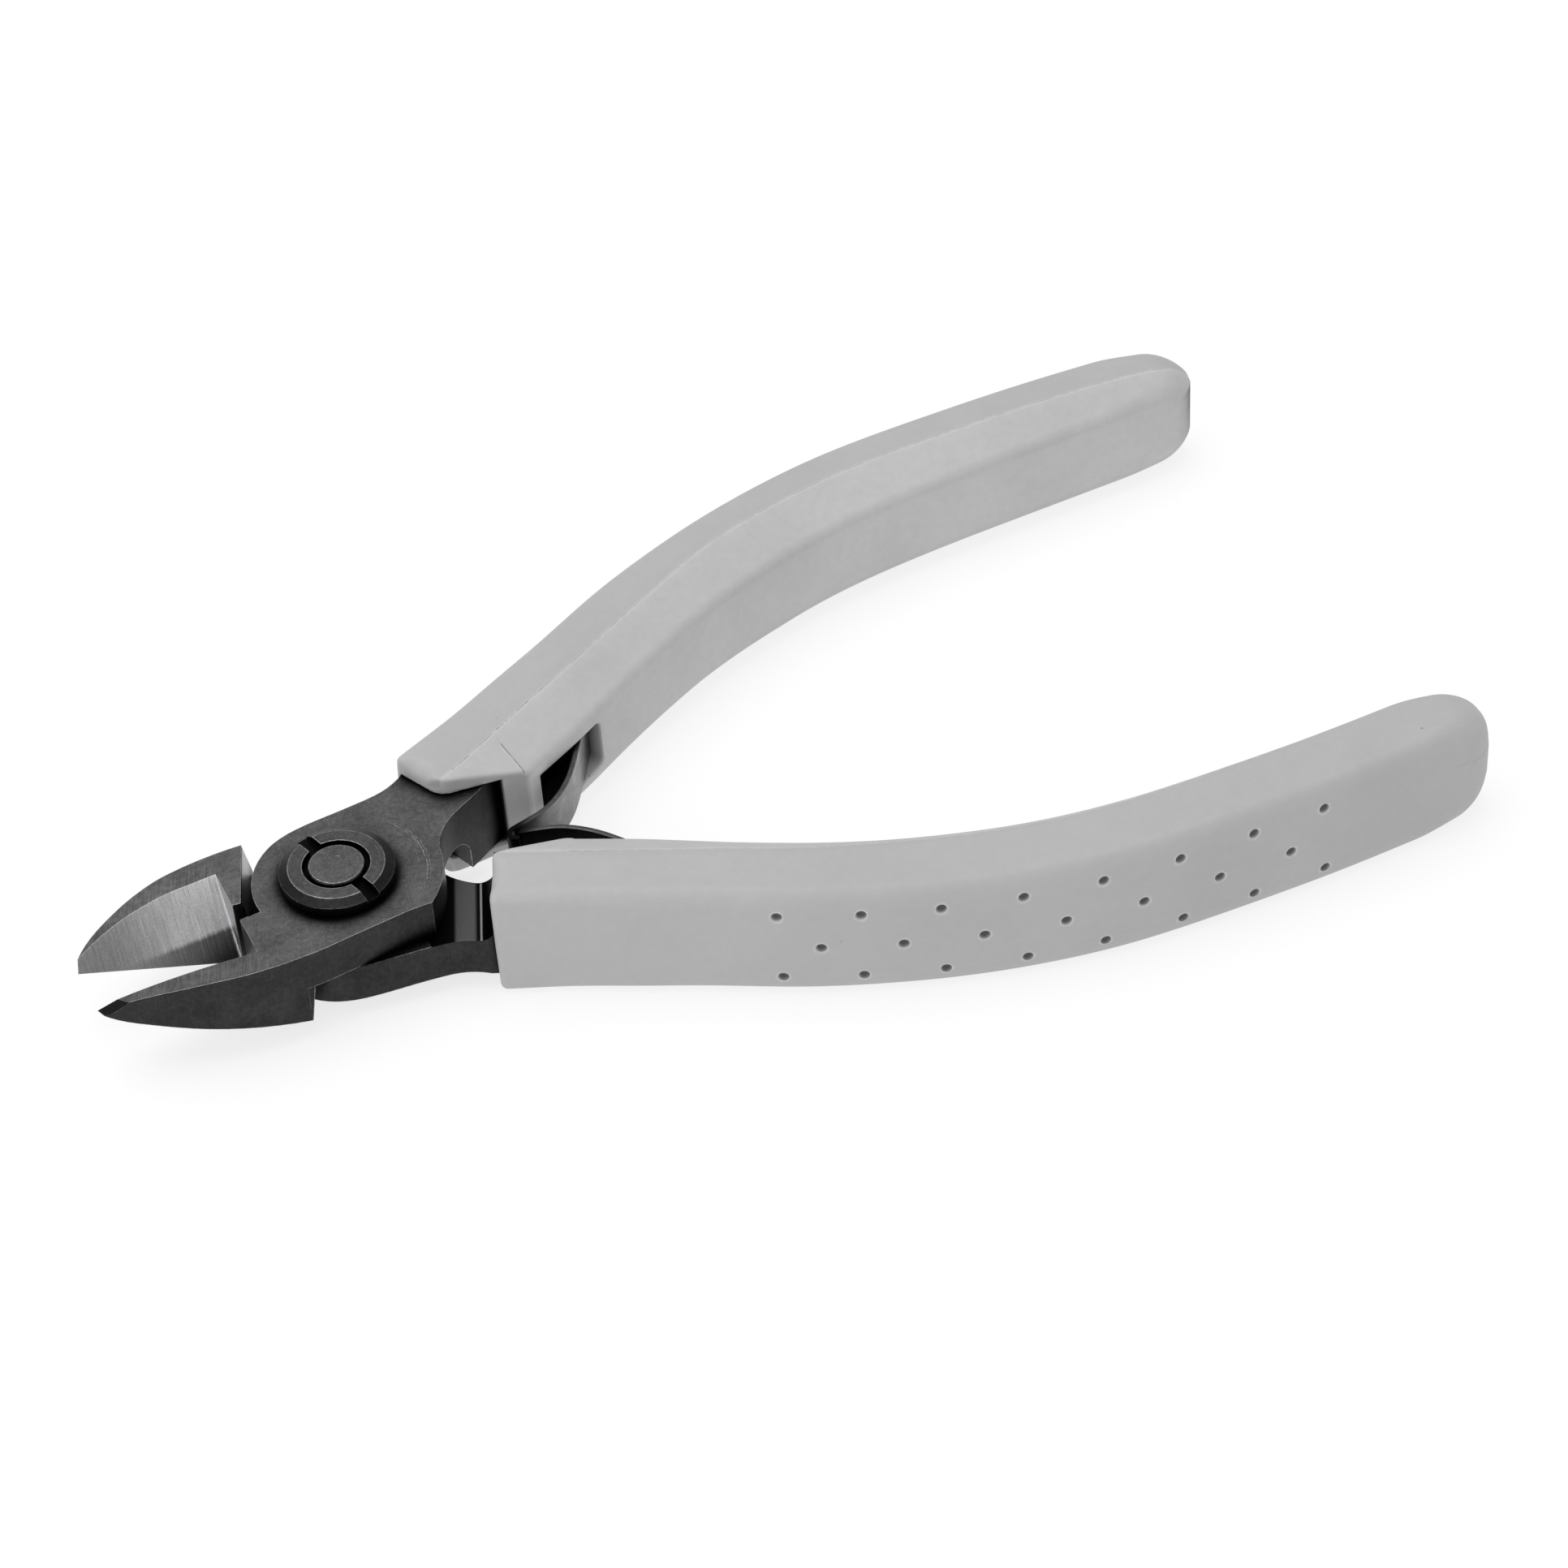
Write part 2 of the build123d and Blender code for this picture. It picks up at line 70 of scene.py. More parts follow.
# outer corner at each station: run along the top, drop down the wall
CORNER = [(1.3, 1.2), (1.4, 1.2), (1.4, 1.6), (1.5, 2.0), (1.5, 2.3), (1.5, 2.5), (1.5, 2.7), (1.5, 2.8),
          (1.45, 2.9), (1.45, 3.0), (1.45, 3.0), (1.45, 3.0), (1.45, 3.0), (1.45, 3.0), (1.45, 3.0)]
DIMPLES = [(30.8, -21.5, 3.5), (37.1, -24.4, 3.5), (43.4, -26.8, 3.5), (50.0, -28.8, 3.5), (56.7, -30.1, 3.5),
           (63.5, -30.9, 3.5), (70.4, -31.0, 3.5), (77.1, -31.1, 3.5),
           (33.9, -23.2, 0), (40.2, -26.0, 0), (46.7, -28.1, 0), (53.4, -29.7, 0), (60.2, -30.8, 0),
           (67.2, -31.1, 0), (73.9, -31.3, 0),
           (31.0, -21.4, -3.5), (37.2, -24.2, -3.5), (43.6, -26.7, -3.5), (50.2, -28.7, -3.5), (56.9, -30.1, -3.5),
           (63.8, -30.8, -3.5), (70.6, -31.1, -3.5), (77.4, -31.1, -3.5)]
DIMPLE_R = 0.47
LEAF = [(16.15, 0.36), (17.6, 0.72), (18.9, 1.12), (20.2, 1.80), (21.5, 2.85), (22.6, 4.05),
        (23.6, 5.45), (24.6, 7.05), (25.6, 8.65), (26.6, 10.25), (27.9, 12.32)]
LEAF_HOOK = [(15.62, 0.16), (15.33, -0.28), (15.45, -0.80), (15.95, -1.02)]
LEAF_T, LEAF_W = 0.50, 2.15
# plane of the ground bevel on the far jaw
EDGE = math.tan(math.radians(6.05))
TIP_X, BEVEL_BACK, BEVEL_SLOPE = -22.75, -9.15, 0.635
# wall across the neck at the end of the lap face
LAP_WALL = [(10.26, 9.73), (12.76, 3.33)]


def edge_z(x):
    return -3.75 + 0.265 * (-6.0 - x)


def world(p):
    """Millimetres from the joint axis to metres in the part's frame."""
    p = np.asarray(p, float)
    return (p + np.array([OX, 0, OZ])) / 1000.0


# ---------------------------------------------------------------------------
# Camera
# ---------------------------------------------------------------------------
PHI, ELE, RHO = (math.radians(a) for a in (21.765, 42.838, 4.276))
U0, V0, SCALE, FPX, HALF = 423.343, 1119.744, 14.55, 5600.0, 966.0
R0 = np.array([math.cos(PHI), -math.sin(PHI), 0.0])
F0 = np.array([math.sin(PHI), math.cos(PHI), 0.0])
Z0 = np.array([0.0, 0.0, 1.0])
cd = math.cos(ELE) * F0 - math.sin(ELE) * Z0
cu = math.sin(ELE) * F0 + math.cos(ELE) * Z0
cr = math.cos(RHO) * R0 - math.sin(RHO) * cu
cu = math.sin(RHO) * R0 + math.cos(RHO) * cu
D = FPX / SCALE
C = -(D * cd + (U0 - HALF) * D / FPX * cr - (V0 - HALF) * D / FPX * cu)
cam_data = bpy.data.cameras.new("camera")
cam = bpy.data.objects.new("camera", cam_data)
scene.collection.objects.link(cam)
cam.matrix_world = Matrix([[cr[i], cu[i], -cd[i], w] for i, w in enumerate(world(C))] + [[0, 0, 0, 1]])
cam_data.sensor_fit = "AUTO"
cam_data.sensor_width = 36.0
cam_data.lens = FPX / (2 * HALF) * 36.0
cam_data.clip_start, cam_data.clip_end = 0.01, 20.0
scene.camera = cam

# ---------------------------------------------------------------------------
# Node helpers
# ---------------------------------------------------------------------------


class Mat:
    """A material built node by node; sockets are passed as they are."""

    def __init__(self, name):
        self.m = bpy.data.materials.new(name)
        self.m.use_nodes = True
        self.t = self.m.node_tree
        self.t.nodes.clear()
        self.out = self.t.nodes.new("ShaderNodeOutputMaterial")

    def link(self, src, dst):
        if hasattr(src, "is_linked") or isinstance(src, bpy.types.NodeSocket):
            self.t.links.new(src, dst)
        else:
            dst.default_value = src

    def n(self, kind, ins=None, **props):
        node = self.t.nodes.new("ShaderNode" + kind)
        for k, v in props.items():
            setattr(node, k, v)
        for k, v in (ins or {}).items():
            self.link(v, node.inputs[k])
        return node

    def math(self, op, a, b=None, c=None, clamp=False):
        node = self.n("Math", operation=op, use_clamp=clamp)
        for i, v in enumerate((a, b, c)):
            if v is not None:
                self.link(v, node.inputs[i])
        return node.outputs[0]

    def vec(self, op, a, b=None, scale=None):
        node = self.n("VectorMath", operation=op)
        self.link(a, node.inputs[0])
        if b is not None:
            self.link(b, node.inputs[1])
        if scale is not None:
            self.link(scale, node.inputs["Scale"])
        return node.outputs["Value"] if op in ("DOT_PRODUCT", "LENGTH", "DISTANCE") else node.outputs[0]

    def step(self, x, lo, hi, a=0.0, b=1.0):
        """Smooth ramp of x between lo and hi, from a to b."""
        node = self.n("MapRange", interpolation_type="SMOOTHSTEP")
        for k, v in zip(("Value", "From Min", "From Max", "To Min", "To Max"), (x, lo, hi, a, b)):
            self.link(v, node.inputs[k])
        return node.outputs[0]

    def noise(self, vector, scale=1.0, detail=3.0, rough=0.55, distortion=0.0):
        return self.n("TexNoise", {"Vector": vector, "Scale": scale, "Detail": detail, "Roughness": rough,
                                   "Distortion": distortion}).outputs["Fac"]

    def mix(self, f, a, b):
        node = self.n("Mix", data_type="RGBA")
        for s, v in zip((node.inputs[0], node.inputs[6], node.inputs[7]), (f, a, b)):
            self.link(v, s)
        return node.outputs[2]

    def mixf(self, f, a, b):
        node = self.n("Mix", data_type="FLOAT")
        for s, v in zip((node.inputs[0], node.inputs[2], node.inputs[3]), (f, a, b)):
            self.link(v, s)
        return node.outputs[0]

    def mm(self):
        """Position in millimetres from the joint axis."""
        tc = self.n("TexCoord")
        p = self.vec("SCALE", tc.outputs["Object"], scale=1000.0)
        return self.vec("SUBTRACT", p, (OX, 0.0, OZ))

    def obj_normal(self):
        return self.n("TexCoord").outputs["Normal"]

    def xyz(self, v):
        s = self.n("SeparateXYZ", {0: v})
        return s.outputs[0], s.outputs[1], s.outputs[2]

    def stretch(self, v, s):
        return self.vec("MULTIPLY", v, s)


def grey(v):
    return (v, v, v, 1.0)


def tone(v):
    return (v, v * 1.004, v * 1.0, 1.0)


# ---------------------------------------------------------------------------
# Materials
# ---------------------------------------------------------------------------


def bevel_frame(s):
    """Corner, run, rise and outward normal of the ground bevel on the jaw of side s."""
    p1 = np.array([BEVEL_BACK, -BEVEL_BACK * EDGE * s, edge_z(BEVEL_BACK)])
    p0 = np.array([TIP_X, -TIP_X * EDGE * s, edge_z(TIP_X)])
    al = (p1 - p0) / np.linalg.norm(p1 - p0)
    ri = np.array([0, BEVEL_SLOPE * s, 1.0])
    no = np.cross(al, ri)
    no /= np.linalg.norm(no)
    if no[2] < 0:
        no = -no
    up = ri - al * ri.dot(al)
    return p1, al, up / np.linalg.norm(up), no


def black_steel(name, hand=0, bevel_side=0, arcs=False, nut=False, top_v=0.085, side_v=0.030, wear=1.0):
    """Black oxide on ground steel. hand is the side of a lever's handle, bevel_side that of its ground jaw."""
    m = Mat(name)
    p = m.mm()
    x, y, z = m.xyz(p)
    geo = m.n("NewGeometry")
    nrm = m.obj_normal()
    nx, ny, nz = m.xyz(nrm)
    top = m.step(m.math("ABSOLUTE", nz), *((0.95, 0.99) if nut else (0.55, 0.9)))
    # grinding marks: across the jaws on the flats, upright on the sides
    turned = m.n("VectorRotate", {"Vector": p, "Angle": -1.19}, rotation_type="Z_AXIS").outputs[0]
    across = m.noise(m.stretch(turned, (0.35, 9.0, 9.0)), 1.0, 4.0, 0.62)
    cross = m.noise(m.stretch(p, (13.0, 13.0, 0.30)), 1.0, 4.0, 0.62)
    grain = m.noise(p, 9.0, 5.0, 0.70)
    fine = m.noise(p, 26.0, 3.0, 0.65)
    cloud = m.noise(p, 0.33, 4.0, 0.6)
    mott = m.noise(p, 2.1, 6.0, 0.68)
    jaw = m.step(x, -11.0, -6.0, 1.0, 0.12)
    face = m.mixf(m.math("MULTIPLY", jaw, 0.75), grain, across)
    streak = m.step(m.mixf(top, cross, face), 0.33, 0.68)
    # tops lighter than the sides: partly the ground finish of the flats, partly painted light from above and painted
    # shade on the sides
    basev = m.mixf(top, side_v, top_v)
    tonev = m.math("MULTIPLY", basev, m.step(streak, 0.0, 1.0, m.mixf(top, 0.90, 0.80), m.mixf(top, 1.12, 1.22)))
    tonev = m.math("MULTIPLY", tonev, m.step(fine, 0.3, 0.7, 0.83, 1.18))
    tonev = m.math("MULTIPLY", tonev, m.step(cloud, 0.25, 0.75, 0.80, 1.22))
    tonev = m.math("MULTIPLY", tonev, m.step(mott, 0.3, 0.7, 0.82, 1.20))
    # a few fine scratches, and small worn specks in patches
    wob = m.noise(p, 1.4, 2.0, 0.5)
    scr = None
    for k, (ax, ay, sc, th) in enumerate(((0.20, 1.0, 0.50, 0.007), (1.0, 0.18, 0.40, 0.006))):
        rot = m.n("VectorRotate", {"Vector": p, "Angle": 0.35 + 1.15 * k}, rotation_type="Z_AXIS").outputs[0]
        v = m.stretch(rot, (ax, ay, 0.8))
        vo = m.n("TexVoronoi", {"Vector": v, "Scale": sc, "Randomness": 1.0}, feature="DISTANCE_TO_EDGE").outputs["Distance"]
        line = m.step(vo, th * 0.3, th, 1.0, 0.0)
        gate = m.step(m.noise(m.vec("ADD", p, (13.0 * k, 7.0, 3.0)), 0.9, 3.0, 0.6), 0.60, 0.68)
        line = m.math("MULTIPLY", line, gate)
        scr = line if scr is None else m.math("MAXIMUM", scr, line)
    scr = m.math("MULTIPLY", scr, top)
    cells = m.n("TexVoronoi", {"Vector": p, "Scale": 3.4, "Randomness": 1.0}).outputs["Distance"]
    speck = m.math("MULTIPLY", m.step(cells, 0.05, 0.10, 1.0, 0.0), m.step(m.noise(p, 0.8, 3.0, 0.6), 0.54, 0.66))
    rub = m.math("MULTIPLY", m.step(m.noise(p, 5.5, 6.0, 0.75), 0.57, 0.66), m.step(m.noise(p, 0.6, 3.0, 0.6), 0.52, 0.66))
    marks = m.math("MAXIMUM", m.math("MULTIPLY", scr, 0.36), m.math("MULTIPLY", speck, 0.30))
    marks = m.math("MAXIMUM", marks, m.math("MULTIPLY", m.math("MULTIPLY", rub, top), 0.18))
    r = m.math("SQRT", m.math("ADD", m.math("MULTIPLY", x, x), m.math("MULTIPLY", y, y)))
    ang = m.math("ARCTAN2", y, x)
    if arcs:
        # scuffs left by turning, in arcs round the joint
        rr = m.math("ADD", r, m.math("MULTIPLY", m.math("SUBTRACT", wob, 0.5), 0.42))
        one = m.step(m.math("ABSOLUTE", m.math("SUBTRACT", rr, 7.55)), 0.01, 0.05, 1.0, 0.0)
        two = m.step(m.math("ABSOLUTE", m.math("SUBTRACT", rr, 7.80)), 0.01, 0.04, 1.0, 0.0)
        main = m.math("MAXIMUM", one, m.math("MULTIPLY", two, 0.7))
        sect = m.math("MULTIPLY", m.step(ang, -0.75, -0.45), m.step(ang, 0.50, 0.80, 1.0, 0.0))
        main = m.math("MULTIPLY", main, m.step(m.noise(p, 3.4, 4.0, 0.7), 0.40, 0.60, 0.15, 1.0))
        ring = m.n("CombineXYZ", {0: m.math("MULTIPLY", r, 8.0), 1: m.math("MULTIPLY", ang, 1.6), 2: 0.0}).outputs[0]
        many = m.step(m.noise(ring, 1.0, 4.0, 0.65), 0.60, 0.68)
        zone = m.math("MULTIPLY", m.step(r, 5.2, 6.2), m.step(r, 7.9, 8.5, 1.0, 0.0))
        many = m.math("MULTIPLY", m.math("MULTIPLY", many, zone), m.step(m.noise(p, 1.3, 4.0, 0.7), 0.50, 0.60))
        arc = m.math("MULTIPLY", m.math("MULTIPLY", m.math("MAXIMUM", m.math("MULTIPLY", main, 0.60), m.math("MULTIPLY", many, 0.42)), sect), top)
        marks = m.math("MAXIMUM", marks, arc)
    if nut:
        # turned marks on the flat ends
        ring = m.n("CombineXYZ", {0: m.math("MULTIPLY", r, 6.0), 1: m.math("MULTIPLY", ang, 0.7), 2: 0.0}).outputs[0]
        lathe = m.math("MULTIPLY", m.step(m.noise(ring, 1.0, 4.0, 0.65), 0.52, 0.70), m.step(m.noise(p, 1.1, 3.0, 0.6), 0.40, 0.60))
        marks = m.math("MAXIMUM", marks, m.math("MULTIPLY", m.math("MULTIPLY", lathe, top), 0.13))
    # worn edges: where a small rounding would turn the surface
    bev = m.n("Bevel", {"Radius": 0.00013}, samples=6)
    turn = m.math("SUBTRACT", 1.0, m.vec("DOT_PRODUCT", bev.outputs[0], geo.outputs["Normal"]))
    edge = m.step(turn, 0.004, 0.022) if nut else m.step(turn, 0.015, 0.09)
    edge = m.math("MULTIPLY", edge, m.step(m.noise(p, 2.6, 5.0, 0.72), 0.37, 0.57, 0.28, 1.0))
    edge = m.math("MULTIPLY", edge, wear)
    # ambient occlusion: painted shade in corners, gaps and under the grips; worn edges stay dark inside corners
    ao = m.n("AmbientOcclusion", {"Distance": 0.0022}, samples=8).outputs["AO"]
    unshaded = m.step(ao, m.mixf(top, 0.50, 0.60), m.mixf(top, 0.95, 0.985))
    edge = m.math("MULTIPLY", edge, m.step(ao, 0.50, 0.85))
    # painted shade: a dark band on the side wall just below a top edge
    bz = m.xyz(bev.outputs[0])[2]
    shade_below_edge = m.math("MULTIPLY", m.math("MULTIPLY", m.step(turn, 0.01, 0.06), m.math("SUBTRACT", 1.0, top)), m.step(bz, 0.10, 0.35))
    edge = m.math("MULTIPLY", edge, m.math("SUBTRACT", 1.0, shade_below_edge))
    marks = m.math("MAXIMUM", marks, edge)
    tonev = m.math("MULTIPLY", tonev, m.math("SUBTRACT", 1.0, m.math("MULTIPLY", shade_below_edge, 0.85)))
    # painted shade: the tone drops to near black where the occlusion is deep
    tonev = m.math("MULTIPLY", tonev, m.mixf(unshaded, 0.05, 1.0))
    steelv = m.mixf(marks, tonev, 0.50)
    if hand > 0:
        facet = m.math("MULTIPLY", m.math("LESS_THAN", x, -19.0), m.step(nx, -0.60, -0.70))
        steelv = m.math("MULTIPLY", steelv, m.mixf(m.math("MULTIPLY", facet, m.math("SUBTRACT", 1.0, edge)), 1.0, 0.30))
    if hand:
        # lap face in the neck: painted shadow of the other lever, grey, then painted shade in the hollow with a painted
        # highlight line, up to the wall
        (wx0, wy0), (wx1, wy1) = [(a, hand * b) for a, b in LAP_WALL]
        wl = math.hypot(wx1 - wx0, wy1 - wy0)
        nv = ((wy1 - wy0) / wl, -(wx1 - wx0) / wl)
        if nv[0] > 0:
            nv = (-nv[0], -nv[1])
        offw = m.vec("DOT_PRODUCT", m.vec("SUBTRACT", p, (wx0, wy0, 0.0)), (nv[0], nv[1], 0.0))
        lapz = m.math("MULTIPLY", z, -hand)
        zone = m.math("MULTIPLY", m.math("GREATER_THAN", lapz, -0.1), m.math("LESS_THAN", lapz, 2.6))
        zone = m.math("MULTIPLY", zone, m.math("GREATER_THAN", m.math("MULTIPLY", nz, -hand), 0.15))
        zone = m.math("MULTIPLY", zone, m.math("MULTIPLY", m.math("GREATER_THAN", x, 5.0), m.math("LESS_THAN", offw, 7.0)))
        lapv = m.math("MULTIPLY", m.step(offw, 3.45, 3.80, 0.095, 0.003), m.step(fine, 0.3, 0.7, 0.8, 1.2))
        lapv = m.math("MULTIPLY", lapv, m.step(offw, 1.70, 2.05, 0.03, 1.0))
        glint = m.step(m.math("ABSOLUTE", m.math("SUBTRACT", offw, 1.42)), 0.05, 0.13, 1.0, 0.0)
        lapv = m.math("MAXIMUM", lapv, m.math("MULTIPLY", glint, 0.42))
        lapv = m.math("MULTIPLY", lapv, m.step(offw, 0.3, 0.9, 0.0, 1.0))
        steelv = m.mixf(zone, steelv, lapv)
        # painted shade: down in the grip the tang is darkened
        steelv = m.math("MULTIPLY", steelv, m.step(x, 17.5, 19.0, 1.0, 0.08))
    if nut:
        # painted shade: the groove round the pin, the pin's wall and the slot floors set near black
        recess_shade = m.math("MULTIPLY", m.math("GREATER_THAN", r, 2.46), m.math("LESS_THAN", r, 2.88))
        recess_shade = m.math("MULTIPLY", recess_shade, m.step(z, 4.95, 5.15, 1.0, 0.0))
        pin = m.math("MULTIPLY", m.math("MULTIPLY", m.math("GREATER_THAN", r, 2.40), m.math("LESS_THAN", r, 2.47)), m.step(z, 5.02, 5.10, 1.0, 0.0))
        # floors of the slots
        slot = m.math("MULTIPLY", m.math("GREATER_THAN", r, 2.86), m.step(z, 4.95, 5.10, 1.0, 0.0))
        slot = m.math("MULTIPLY", slot, m.math("MULTIPLY", m.math("GREATER_THAN", nz, 0.9), m.math("GREATER_THAN", z, 3.9)))
        recess_shade = m.math("MULTIPLY", m.math("MAXIMUM", m.math("MAXIMUM", recess_shade, slot), pin), m.math("GREATER_THAN", z, 2.0))
        steelv = m.mixf(recess_shade, steelv, 0.0025)
    col = m.n("CombineColor", {0: steelv, 1: steelv, 2: m.math("MULTIPLY", steelv, 1.005)}).outputs[0]
    rough = m.step(streak, 0.0, 1.0, 0.38, 0.46)
    bump_h = m.math("ADD", m.math("MULTIPLY", streak, 0.5), m.math("MULTIPLY", fine, 0.35))
    if bevel_side:
        s = bevel_side
        p1, al, up, no = bevel_frame(s)
        off = m.math("ABSOLUTE", m.vec("DOT_PRODUCT", m.vec("SUBTRACT", p, tuple(p1)), tuple(no)))
        facing = m.vec("DOT_PRODUCT", nrm, tuple(no))
        mask = m.math("MULTIPLY", m.step(off, 0.03, 0.05, 1.0, 0.0), m.step(facing, 0.97, 0.99))
        mask = m.math("MULTIPLY", mask, m.math("LESS_THAN", x, BEVEL_BACK + 0.02))
        q = m.vec("SUBTRACT", p, tuple(p1))
        ua = m.vec("DOT_PRODUCT", q, tuple(al))
        ub = m.vec("DOT_PRODUCT", q, tuple(up))
        ul = m.math("ADD", ua, m.math("MULTIPLY", ub, 0.26))
        g1 = m.noise(m.n("CombineXYZ", {0: m.math("MULTIPLY", ul, 24.0), 1: m.math("MULTIPLY", ub, 0.40), 2: 0.0}).outputs[0],
                     1.0, 5.0, 0.70)
        g2 = m.noise(m.n("CombineXYZ", {0: m.math("MULTIPLY", ul, 4.0), 1: m.math("MULTIPLY", ub, 0.22), 2: 4.0}).outputs[0],
                     1.0, 3.0, 0.6)
        g = m.math("ADD", m.math("MULTIPLY", g1, 0.7), m.math("MULTIPLY", g2, 0.3))
        gs = m.step(g, 0.33, 0.67)
        bright = m.mixf(gs, 0.22, 0.40)
        bright = m.math("MULTIPLY", bright, m.step(m.math("ADD", ua, m.math("MULTIPLY", ub, 0.5)), -12.0, 2.2, 0.95, 2.25))
        bright = m.math("MULTIPLY", bright, m.step(m.noise(p, 7.0, 4.0, 0.7), 0.3, 0.7, 0.86, 1.14))
        # the lower part mirrors the dark jaw opposite
        low = m.math("MULTIPLY", m.step(m.math("ADD", z, m.math("MULTIPLY", m.math("SUBTRACT", g2, 0.5), 0.3)), -0.45, 0.02, 1.0, 0.0),
                     m.step(x, -19.6, -14.5))
        sink = m.mixf(m.step(z, -2.6, -0.2), m.mixf(m.step(x, -15.0, -10.0), 0.36, 0.08), m.mixf(m.step(x, -17.0, -11.0), 0.48, 0.20))
        bright = m.math("MULTIPLY", bright, m.mixf(low, 1.0, sink))
        # the upright wall behind the bevel
        wall = m.math("MULTIPLY", m.step(m.math("ABSOLUTE", m.math("SUBTRACT", x, BEVEL_BACK)), 0.25, 0.35, 1.0, 0.0),
                      m.step(nx, -0.90, -0.80, 1.0, 0.0))
        wallv = m.mixf(m.step(z, -0.35, 0.25), m.mixf(m.step(z, -2.6, -1.2), 0.16, 0.05), 0.50)
        if bevel_side < 0:
            wallv = m.math("MULTIPLY", wallv, 0.13)
        # light line where the two meet
        ridge = m.math("MULTIPLY", mask, m.step(m.math("SUBTRACT", BEVEL_BACK, x), 0.10, 0.24, 1.0, 0.0))
        ridge = m.math("MULTIPLY", ridge, m.step(m.noise(p, 2.0, 3.0, 0.6), 0.30, 0.55, 0.35, 1.0))
        bright = m.mixf(ridge, bright, 0.85)
        # and the leaning back edge of the jaw
        heel = m.math("MULTIPLY", m.math("GREATER_THAN", nx, 0.55), m.math("LESS_THAN", x, -5.0))
        heel = m.math("MULTIPLY", heel, m.math("GREATER_THAN", m.math("MULTIPLY", y, s), 0.9))
        heel = m.math("MULTIPLY", heel, m.math("MULTIPLY", m.step(m.math("MULTIPLY", z, s), 0.1, 0.9), m.math("LESS_THAN", m.math("MULTIPLY", z, s), 3.4)))
        lit = m.math("MAXIMUM", m.math("MAXIMUM", mask, wall), heel)
        bright = m.mixf(wall, bright, wallv)
        bright = m.mixf(heel, bright, m.step(m.math("MULTIPLY", z, s), 0.3, 2.2, 0.03, 0.42))
        col = m.mix(lit, col, m.n("CombineColor", {0: bright, 1: bright, 2: m.math("MULTIPLY", bright, 1.01)}).outputs[0])
        rough = m.mixf(lit, rough, m.step(gs, 0.0, 1.0, 0.42, 0.34))
        bump_h = m.mixf(mask, bump_h, m.math("MULTIPLY", gs, 0.8))
    bump = m.n("Bump", {"Strength": 0.20, "Distance": 0.00003, "Height": bump_h, "Normal": bev.outputs[0]})
    b = m.n("BsdfPrincipled", {"Base Color": col, "Roughness": rough, "Metallic": 1.0, "Normal": bump.outputs[0]})
    m.t.links.new(b.outputs[0], m.out.inputs[0])
    return m.m


def spring_steel(name, base=0.05, edge=0.08, hook=False):
    m = Mat(name)
    p = m.mm()
    x, y, z = m.xyz(p)
    nx, ny, nz = m.xyz(m.obj_normal())
    top = m.step(m.math("ABSOLUTE", nz), 0.5, 0.85)
    st = m.step(m.noise(m.stretch(p, (1.2, 1.2, 12.0)), 1.0, 4.0, 0.6), 0.3, 0.7)
    cl = m.step(m.noise(p, 0.7, 3.0, 0.6), 0.3, 0.7, 0.8, 1.2)
    v = m.math("MULTIPLY", m.mixf(st, base * 0.88, base * 1.12), cl)
    if hook:
        # painted shade: darker towards the hook and lower down
        v = m.math("MULTIPLY", v, m.step(x, 16.2, 23.5, 0.35, 1.0))
        v = m.math("MULTIPLY", v, m.step(x, 15.9, 17.6, 0.02, 1.0))
        v = m.math("MULTIPLY", v, m.step(z, -2.2, 1.8, 0.62, 1.12))
    ed = m.math("MULTIPLY", top, m.step(m.noise(p, 2.0, 3.0, 0.6), 0.3, 0.6, 0.75, 1.0))
    v = m.mixf(ed, v, m.math("MULTIPLY", edge, m.step(x, 16.2, 18.5, 0.05, 1.0)))
    col = m.n("CombineColor", {0: v, 1: v, 2: m.math("MULTIPLY", v, 1.01)}).outputs[0]
    bump = m.n("Bump", {"Strength": 0.15, "Distance": 0.00002, "Height": st})
    b = m.n("BsdfPrincipled", {"Base Color": col, "Roughness": m.step(st, 0.0, 1.0, 0.34, 0.42), "Metallic": 1.0,
                               "Normal": bump.outputs[0]})
    m.t.links.new(b.outputs[0], m.out.inputs[0])
    return m.m


